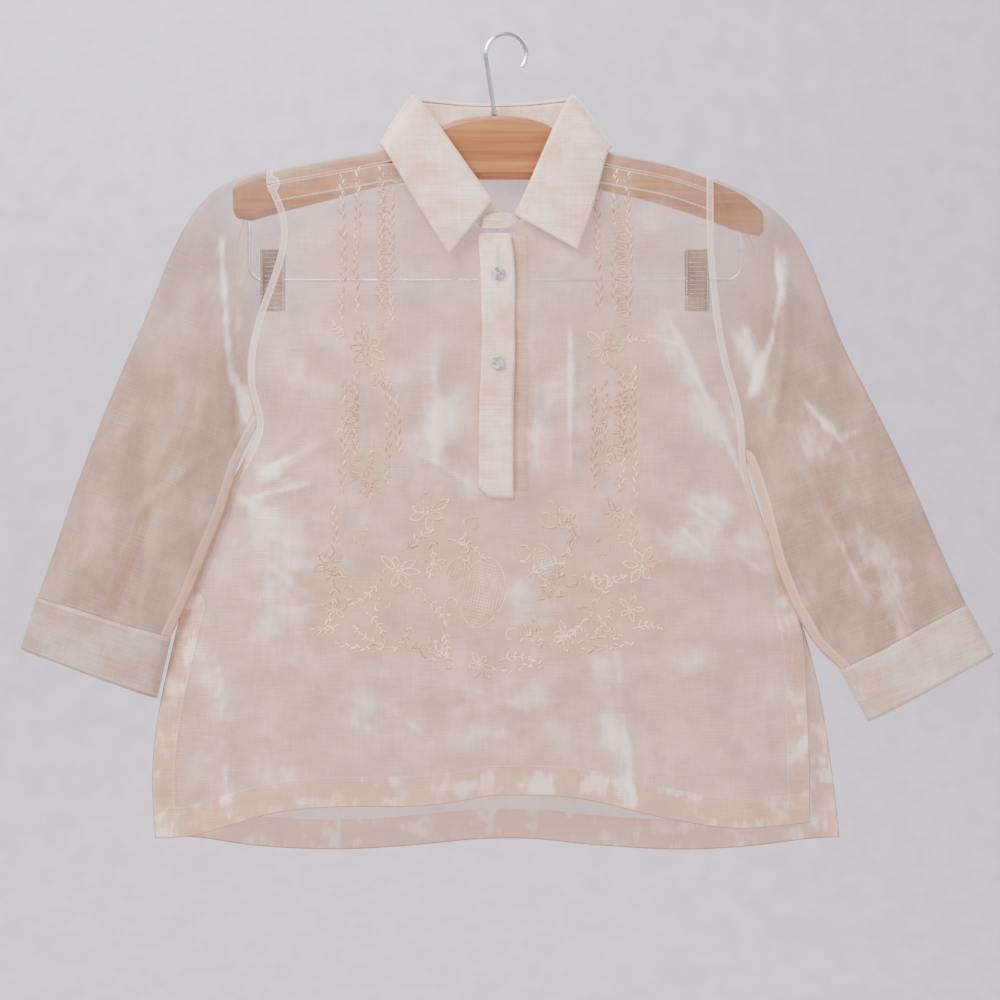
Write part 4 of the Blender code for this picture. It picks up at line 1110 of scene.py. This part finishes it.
# %% Embroidery on the front
def columns():
    """The winding cords down both sides of the placket: pale ones, and darker ones that are partly a
    second strand and partly painted shade.
    """
    pale, dark = [], []
    for x, top, bottom in (
        (-128, 112, 242), (-116, 110, 236), (-96, 106, 232), (-87, 130, 240), (84, 128, 236),
        (98, 112, 232), (109, 114, 240), (-127, 284, 382), (-117, 280, 352), (-90, 284, 380),
        (-82, 300, 352), (80, 292, 384), (88, 286, 350), (104, 282, 380), (113, 276, 388),
        (-134, 392, 436), (113, 392, 434), (61, 396, 438),
    ):
        pale += rope(x, top, x + random.uniform(-1.5, 1.5), bottom, phase=random.uniform(0, 6))
        dark += rope(x, top + 3, x, bottom - 4, 8.8, 1.9, 1.3, random.uniform(0, 6))
    for x0, x1, top, bottom in (
        (-102, -88, 112, 246), (96, 110, 150, 246), (-124, -112, 292, 372), (94, 112, 300, 380),
    ):
        dark += ladder(x0, x1, top, bottom)
    return pale, dark


def panel_motifs():
    """Flowers, sprays and tendrils."""
    plan = []
    for x, drop, radius, petals, spin in (
        (-108, 262, 15, 7, 0.3), (90, 262, 15, 7, 0.1), (-57, 398, 15, 6, 0.5),
        (-82, 446, 14, 7, 0.2), (-138, 440, 13, 6, 0.6), (120, 442, 14, 6, 0.0),
        (-106, 378, 9, 5, 0.3), (97, 398, 10, 5, 0.4), (-134, 478, 9, 5, 0.9),
        (110, 478, 9, 5, 0.2), (56, 500, 10, 6, 0.4), (-14, 524, 10, 6, 0.1), (-96, 288, 8, 5, 0.0),
        (106, 290, 8, 5, 0.5), (44, 462, 9, 6, 0.3), (-52, 440, 8, 5, 0.8),
    ):
        plan += flower(x, drop, radius, petals, spin)
    for x, drop, angle, length in (
        (-57, 414, 70, 34), (-75, 432, -60, 26), (-96, 452, 120, 30), (-122, 452, 200, 20),
        (-136, 452, 80, 34), (-40, 420, 10, 30), (44, 388, 40, 36), (60, 420, 100, 40),
        (76, 440, 70, 40), (100, 450, 160, 26), (-84, 510, 190, 34), (-76, 512, -10, 26),
        (-34, 520, 200, 24), (2, 520, -20, 24), (44, 508, 200, 24), (66, 506, -25, 30),
        (104, 500, 200, 22), (112, 494, -20, 20), (-20, 444, -120, 26), (24, 452, -40, 30),
        (-60, 470, 30, 24), (84, 470, -60, 26), (-108, 480, 40, 26), (-118, 300, 95, 30),
        (92, 300, 88, 30), (-104, 340, 80, 24), (96, 336, 90, 26), (-122, 252, 200, 14),
        (104, 256, -20, 14), (30, 486, 60, 22), (-130, 490, 150, 20), (-70, 486, 100, 26),
        (-46, 494, 60, 20), (72, 486, 120, 24), (96, 470, 100, 26),
    ):
        plan += spray(x, drop, angle, length)
    for x, drop, radius, hand, turn in (
        (42, 402, 7, 1, 20), (62, 452, 6, -1, 200), (-36, 474, 6, 1, 110), (-112, 420, 6, -1, 300),
        (20, 430, 6, -1, 80), (86, 428, 6, 1, 250), (-92, 474, 6, 1, 150), (12, 500, 6, -1, 20),
        (-20, 408, 5, 1, 200), (70, 480, 5, -1, 60), (-66, 466, 5, -1, 30), (104, 418, 5, 1, 320),
        (-122, 462, 5, 1, 90), (34, 520, 5, -1, 140), (-50, 512, 5, 1, 260),
    ):
        plan += tendril(x, drop, radius, hand, turn)
    for ends in ((-134, 506, -92, 512), (70, 512, 116, 504), (-62, 516, -30, 528), (4, 530, 40, 518)):
        plan += rope(*ends)
    return plan


def lattices():
    return filling(-12, 464, 19, 30, 14) + filling(40, 440, 9, 17, -18) + filling(-34, 446, 7, 12, 20)


def on_cloth(plan, panel, lift):
    """Sets flat stitches on a panel by rays from in front."""
    made = free_mesh(panel)
    tree = BVHTree.FromBMesh(made)
    placed = []
    for x, drop, angle, length, width in plan:
        start = Vector(((x + CENTRE_LINE_X) * MM, -0.2, -drop * MM))
        hit, normal, _, _ = tree.ray_cast(start, Vector((0, 1, 0)))
        if hit is not None:
            normal = normal if normal.y < 0 else -normal
            way = Vector((math.cos(angle), 0, -math.sin(angle)))
            size = (length * MM, width * MM, min(0.9, 0.35 + width * 0.22) * MM)
            placed.append((hit + normal * lift * MM, way, normal, size))
    made.free()
    return placed


cords, dark_cords = columns()
motifs = panel_motifs()
pale_plan = cords + motifs + lattices()
dark_plan = dark_cords + painted_shadow_stitches(motifs)
needlework = sew("embroidery", on_cloth(pale_plan, front, 0.25), THREAD)
dark_needlework = sew("embroidery_shaded", on_cloth(dark_plan, front, 0.0), DARK_THREAD_AND_PAINTED_SHADOW)
store(front, needle=near_stitches(front, pale_plan + dark_plan))
store(back, needle=0.0)

# %% [markdown]
# ## Seams and topstitching
# A line of small stitches runs a few millimetres inside the edges of the collar, cuffs and
# placket, along the top of the hems and beside the armholes. The line is found on the piece
# itself: each edge point steps inwards over the surface and drops back onto it.

# %% Stitch lines inside an edge
def edge_walk(made):
    """The open edges of a skin as runs of connected points."""
    left = dict.fromkeys(e for e in made.edges if e.is_boundary)
    runs = []
    while left:
        edge = left.popitem()[0]
        run = list(edge.verts)
        grown = True
        while grown:
            grown = False
            for edge in run[-1].link_edges:
                if edge in left:
                    del left[edge]
                    run.append(edge.other_vert(run[-1]))
                    grown = True
                    break
        runs.append(run)
    return runs


def inset_stitches(made, inset, wanted, pitch=3.0, length=2.2, width=0.5):
    """Stitches at a distance in millimetres inside the open edges that pass a test."""
    made.normal_update()
    tree = BVHTree.FromBMesh(made)
    placed = []
    for run in edge_walk(made):
        points = [(v.co.copy(), v.normal.copy()) for v in run]
        spare = 0.0
        for (a, na), (b, nb) in zip(points, points[1:]):
            run_way = b - a
            step = run_way.length
            if step < 1e-7:
                continue
            way = run_way / step
            along = spare
            while along < step:
                t = along / step
                place, normal = a.lerp(b, t), na.lerp(nb, t).normalized()
                x, drop = place.x / MM - CENTRE_LINE_X, -place.z / MM
                if wanted(x, drop, abs(way.x) > abs(way.z)):
                    for hand in (-1, 1):
                        inner = place + way.cross(normal) * hand * inset * MM
                        near, _, _, away = tree.find_nearest(inner)
                        if away < 0.25 * inset * MM:
                            size = (length * MM, width * MM, 0.35 * MM)
                            placed.append((near + normal * 0.12 * MM, way, normal, size))
                            break
                along += pitch * MM
            spare = along - step
    return placed


DOUBLED_WALL = 1.5
topstitch = []
for name, middle, inset in (
    ("collar_fall", 0.0, 5.0), ("placket", 0.0, 2.5), ("cuff_left", SLEEVE_MIDDLE_Y, 3.0),
    ("cuff_right", SLEEVE_MIDDLE_Y, 3.0),
):
    skin = outer_skin(name, DOUBLED_WALL, middle)
    topstitch += inset_stitches(skin, inset, everywhere)
    skin.free()
STITCH_INSET = 1.0  # the topstitching runs this much inside a band's raw side
TURNED_EDGES = (
    (is_hem, HEM_BAND), (is_vent, VENT_BAND), (is_armhole, ARMHOLE_BAND),
    (is_shoulder, SHOULDER_BAND),
)
for panel, tests in ((front, TURNED_EDGES), (back, TURNED_EDGES[:3])):
    skin = free_mesh(panel)
    for wanted, width in tests:
        topstitch += inset_stitches(skin, width - STITCH_INSET, wanted, 3.6, 2.4, 0.45)
    skin.free()
seams = sew("topstitching", topstitch, SEWING)

# %% [markdown]
# ## Buttons and buttonholes
# A shirt button is a turned disc with a rim, a shallow dish and four holes. The frame's buttons
# give the place and the facing, and the finer ones are turned from a profile and drilled with a
# Boolean. The placket also has an empty buttonhole above the first button.

# %% Buttons
BUTTON_PROFILE = (
    # radius and height as shares of the button's radius and thickness
    (0.0, 0.0), (0.80, 0.0), (0.95, 0.12), (1.0, 0.38), (0.98, 0.75), (0.92, 0.95), (0.84, 1.0),
    (0.76, 0.94), (0.68, 0.78), (0.60, 0.72), (0.0, 0.70),
)
BUTTON_RADIUS = 5.5
BUTTON_THICK = 2.2
BUTTON_SIDES = 40
HOLE_RADIUS = 0.75
HOLE_OUT = 1.35


def frame_facing(name, towards):
    """Middle, outward direction and seat of a frame's flat round piece."""
    points = np.array([v.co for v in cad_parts[name].data.vertices])
    middle = points.mean(axis=0)
    _, _, axes = np.linalg.svd(points - middle, full_matrices=False)
    out = Vector(axes[2])
    out = out if out.dot(towards) > 0 else -out
    heights = (points - middle) @ np.array(out)
    return Vector(middle), out, heights.min()


def shirt_button(name, towards):
    middle, out, low = frame_facing(name, towards)
    made = bmesh.new()
    turns = [2 * math.pi * k / BUTTON_SIDES for k in range(BUTTON_SIDES)]
    rings = []
    for radius, height in BUTTON_PROFILE[1:-1]:
        reach, lift = radius * BUTTON_RADIUS * MM, height * BUTTON_THICK * MM
        places = [(reach * math.cos(a), reach * math.sin(a), lift) for a in turns]
        rings.append([made.verts.new(place) for place in places])
    for low_ring, high_ring in zip(rings, rings[1:]):
        for k in range(BUTTON_SIDES):
            near = (k + 1) % BUTTON_SIDES
            made.faces.new((low_ring[k], low_ring[near], high_ring[near], high_ring[k]))
    made.faces.new(list(reversed(rings[0])))
    made.faces.new(rings[-1])
    button = new_object(name + "_turned", made, PEARL)
    drills = bmesh.new()
    for k in range(4):
        a = math.radians(45 + 90 * k)
        place = Matrix.Translation((HOLE_OUT * MM * math.cos(a), HOLE_OUT * MM * math.sin(a), 0))
        bmesh.ops.create_cone(
            drills, cap_ends=True, segments=14, radius1=HOLE_RADIUS * MM, radius2=HOLE_RADIUS * MM,
            depth=0.01, matrix=place)
    drill = new_object("drill", drills, PEARL)
    cut = button.modifiers.new("Holes", "BOOLEAN")
    cut.object = drill
    settle(button)
    bpy.data.objects.remove(drill)
    across = out.cross(Vector((0, 0, 1))).normalized()
    up = out.cross(across)
    turn = Matrix((across, up, out)).transposed().to_4x4()
    button.data.transform(Matrix.Translation(middle + out * low) @ turn)
    button.data.shade_flat()
    ties = []
    for hand in (-1, 1):
        face = middle + out * (low + 0.80 * BUTTON_THICK * MM)
        place = face + across * hand * HOLE_OUT * 0.707 * MM
        ties.append((place, up, out, (3.6 * MM, 0.8 * MM, 0.7 * MM)))
    return button, ties


buttons, ties = [], []
for name, way in (
    ("button_1", -1), ("button_2", -1), ("cuff_button_left", 1), ("cuff_button_right", 1),
):
    button, tie = shirt_button(name, Vector((0, way, 0)))
    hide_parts(name)
    buttons.append(button)
    ties += tie
button_thread = sew("button_thread", ties, SEWING)

# %% [markdown]
# ## Buttonholes
# A buttonhole is a slot edged with close stitches that lie across it. Two rows of short stitches
# from the same tree draw it, so no slot needs to be cut in the cloth.

# %% Buttonholes
BUTTONHOLES = (
    # x, drop, angle of the slot, half length
    (0.5, 184, 90, 7.0), (0.5, 208.5, 90, 4.0), (0.0, 282.5, 90, 4.0), (-2, 157.5, 4, 7.0),
)
HOLE_PITCH = 0.7
HALF_SLOT = 0.9
holes = []
for x, drop, angle, half in BUTTONHOLES:
    a = math.radians(angle)
    for hand in (-1, 1):
        for k in range(int(half * 2 / HOLE_PITCH)):
            place = at((x, drop), a, -half + HOLE_PITCH * k, hand * HALF_SLOT)
            holes.append((*place, a + math.pi / 2, 1.6, 0.6))
PLACKET_TOP = 166
on_placket = on_cloth([s for s in holes if s[1] > PLACKET_TOP], placket, 0.1)
on_stand = on_cloth([s for s in holes if s[1] <= PLACKET_TOP], collar_stand, 0.1)
buttonholes = sew("buttonholes", on_placket + on_stand, SEWING)

# %% [markdown]
# ## The hanger
# The wood, the hook and the bar have the right shape in the frame and only get their finish. The
# clips get raised ribs across their jaws, laid by the stitch tree, which sets any small spindle.

# %% Hanger finishes and clip ribs
for name, material in (
    ("hanger_wood", WOOD), ("hanger_hook", WIRE), ("hanger_bar", BAR_WIRE),
    ("hanger_clip_left", CLIP_STEEL), ("hanger_clip_right", CLIP_STEEL),
):
    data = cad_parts[name].data
    for slot in range(len(data.materials)):
        data.materials[slot] = material
    if not data.materials:
        data.materials.append(material)

ribs = []
for name in ("hanger_clip_left", "hanger_clip_right"):
    made = free_mesh(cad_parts[name])
    jaw = BVHTree.FromBMesh(made)
    made.free()
    low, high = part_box(name)
    middle_x, inset = (high[0] + low[0]) / 2, 1.2 * MM
    long_rib = ((high[0] - low[0]) * 0.8, 1.6 * MM, 1.3 * MM)
    # across the jaw, and down both of its edges: x, direction, count, room at the ends and size
    for x, way, count, room, size in (
        (middle_x, Vector((1, 0, 0)), 13, 0.003, long_rib),
        (low[0] + inset, Vector((0, 0, 1)), 16, 0.002, (4.4 * MM, 1.5 * MM, 1.5 * MM)),
        (high[0] - inset, Vector((0, 0, 1)), 16, 0.002, (4.4 * MM, 1.5 * MM, 1.5 * MM)),
    ):
        for k in range(count):
            z = high[2] - room - k * (high[2] - low[2] - 2 * room) / (count - 1)
            for hand in (-1, 1):
                start = Vector((x, hand * 0.05, z))
                hit, normal, _, _ = jaw.ray_cast(start, Vector((0, -hand, 0)))
                if hit is not None:
                    normal = normal if normal.y * hand > 0 else -normal
                    ribs.append((hit, way, normal, size))
clip_ribs = sew("clip_ribs", ribs, WIRE)

# %% [markdown]
# ## Replacing the pieces
# Each cloth piece replaces its wall, and every new piece rides on the one body.

# %% Replace and ride
cloths = [front, back, *sleeves.values(), *doubled]
for piece in cloths:
    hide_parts(piece.name.removesuffix("_cloth"))

bpy.data.objects.remove(STITCH)
everything = [
    *cloths, needlework, dark_needlework, seams, *buttons, button_thread, buttonholes, clip_ribs,
]
for piece in everything:
    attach(piece, "root")
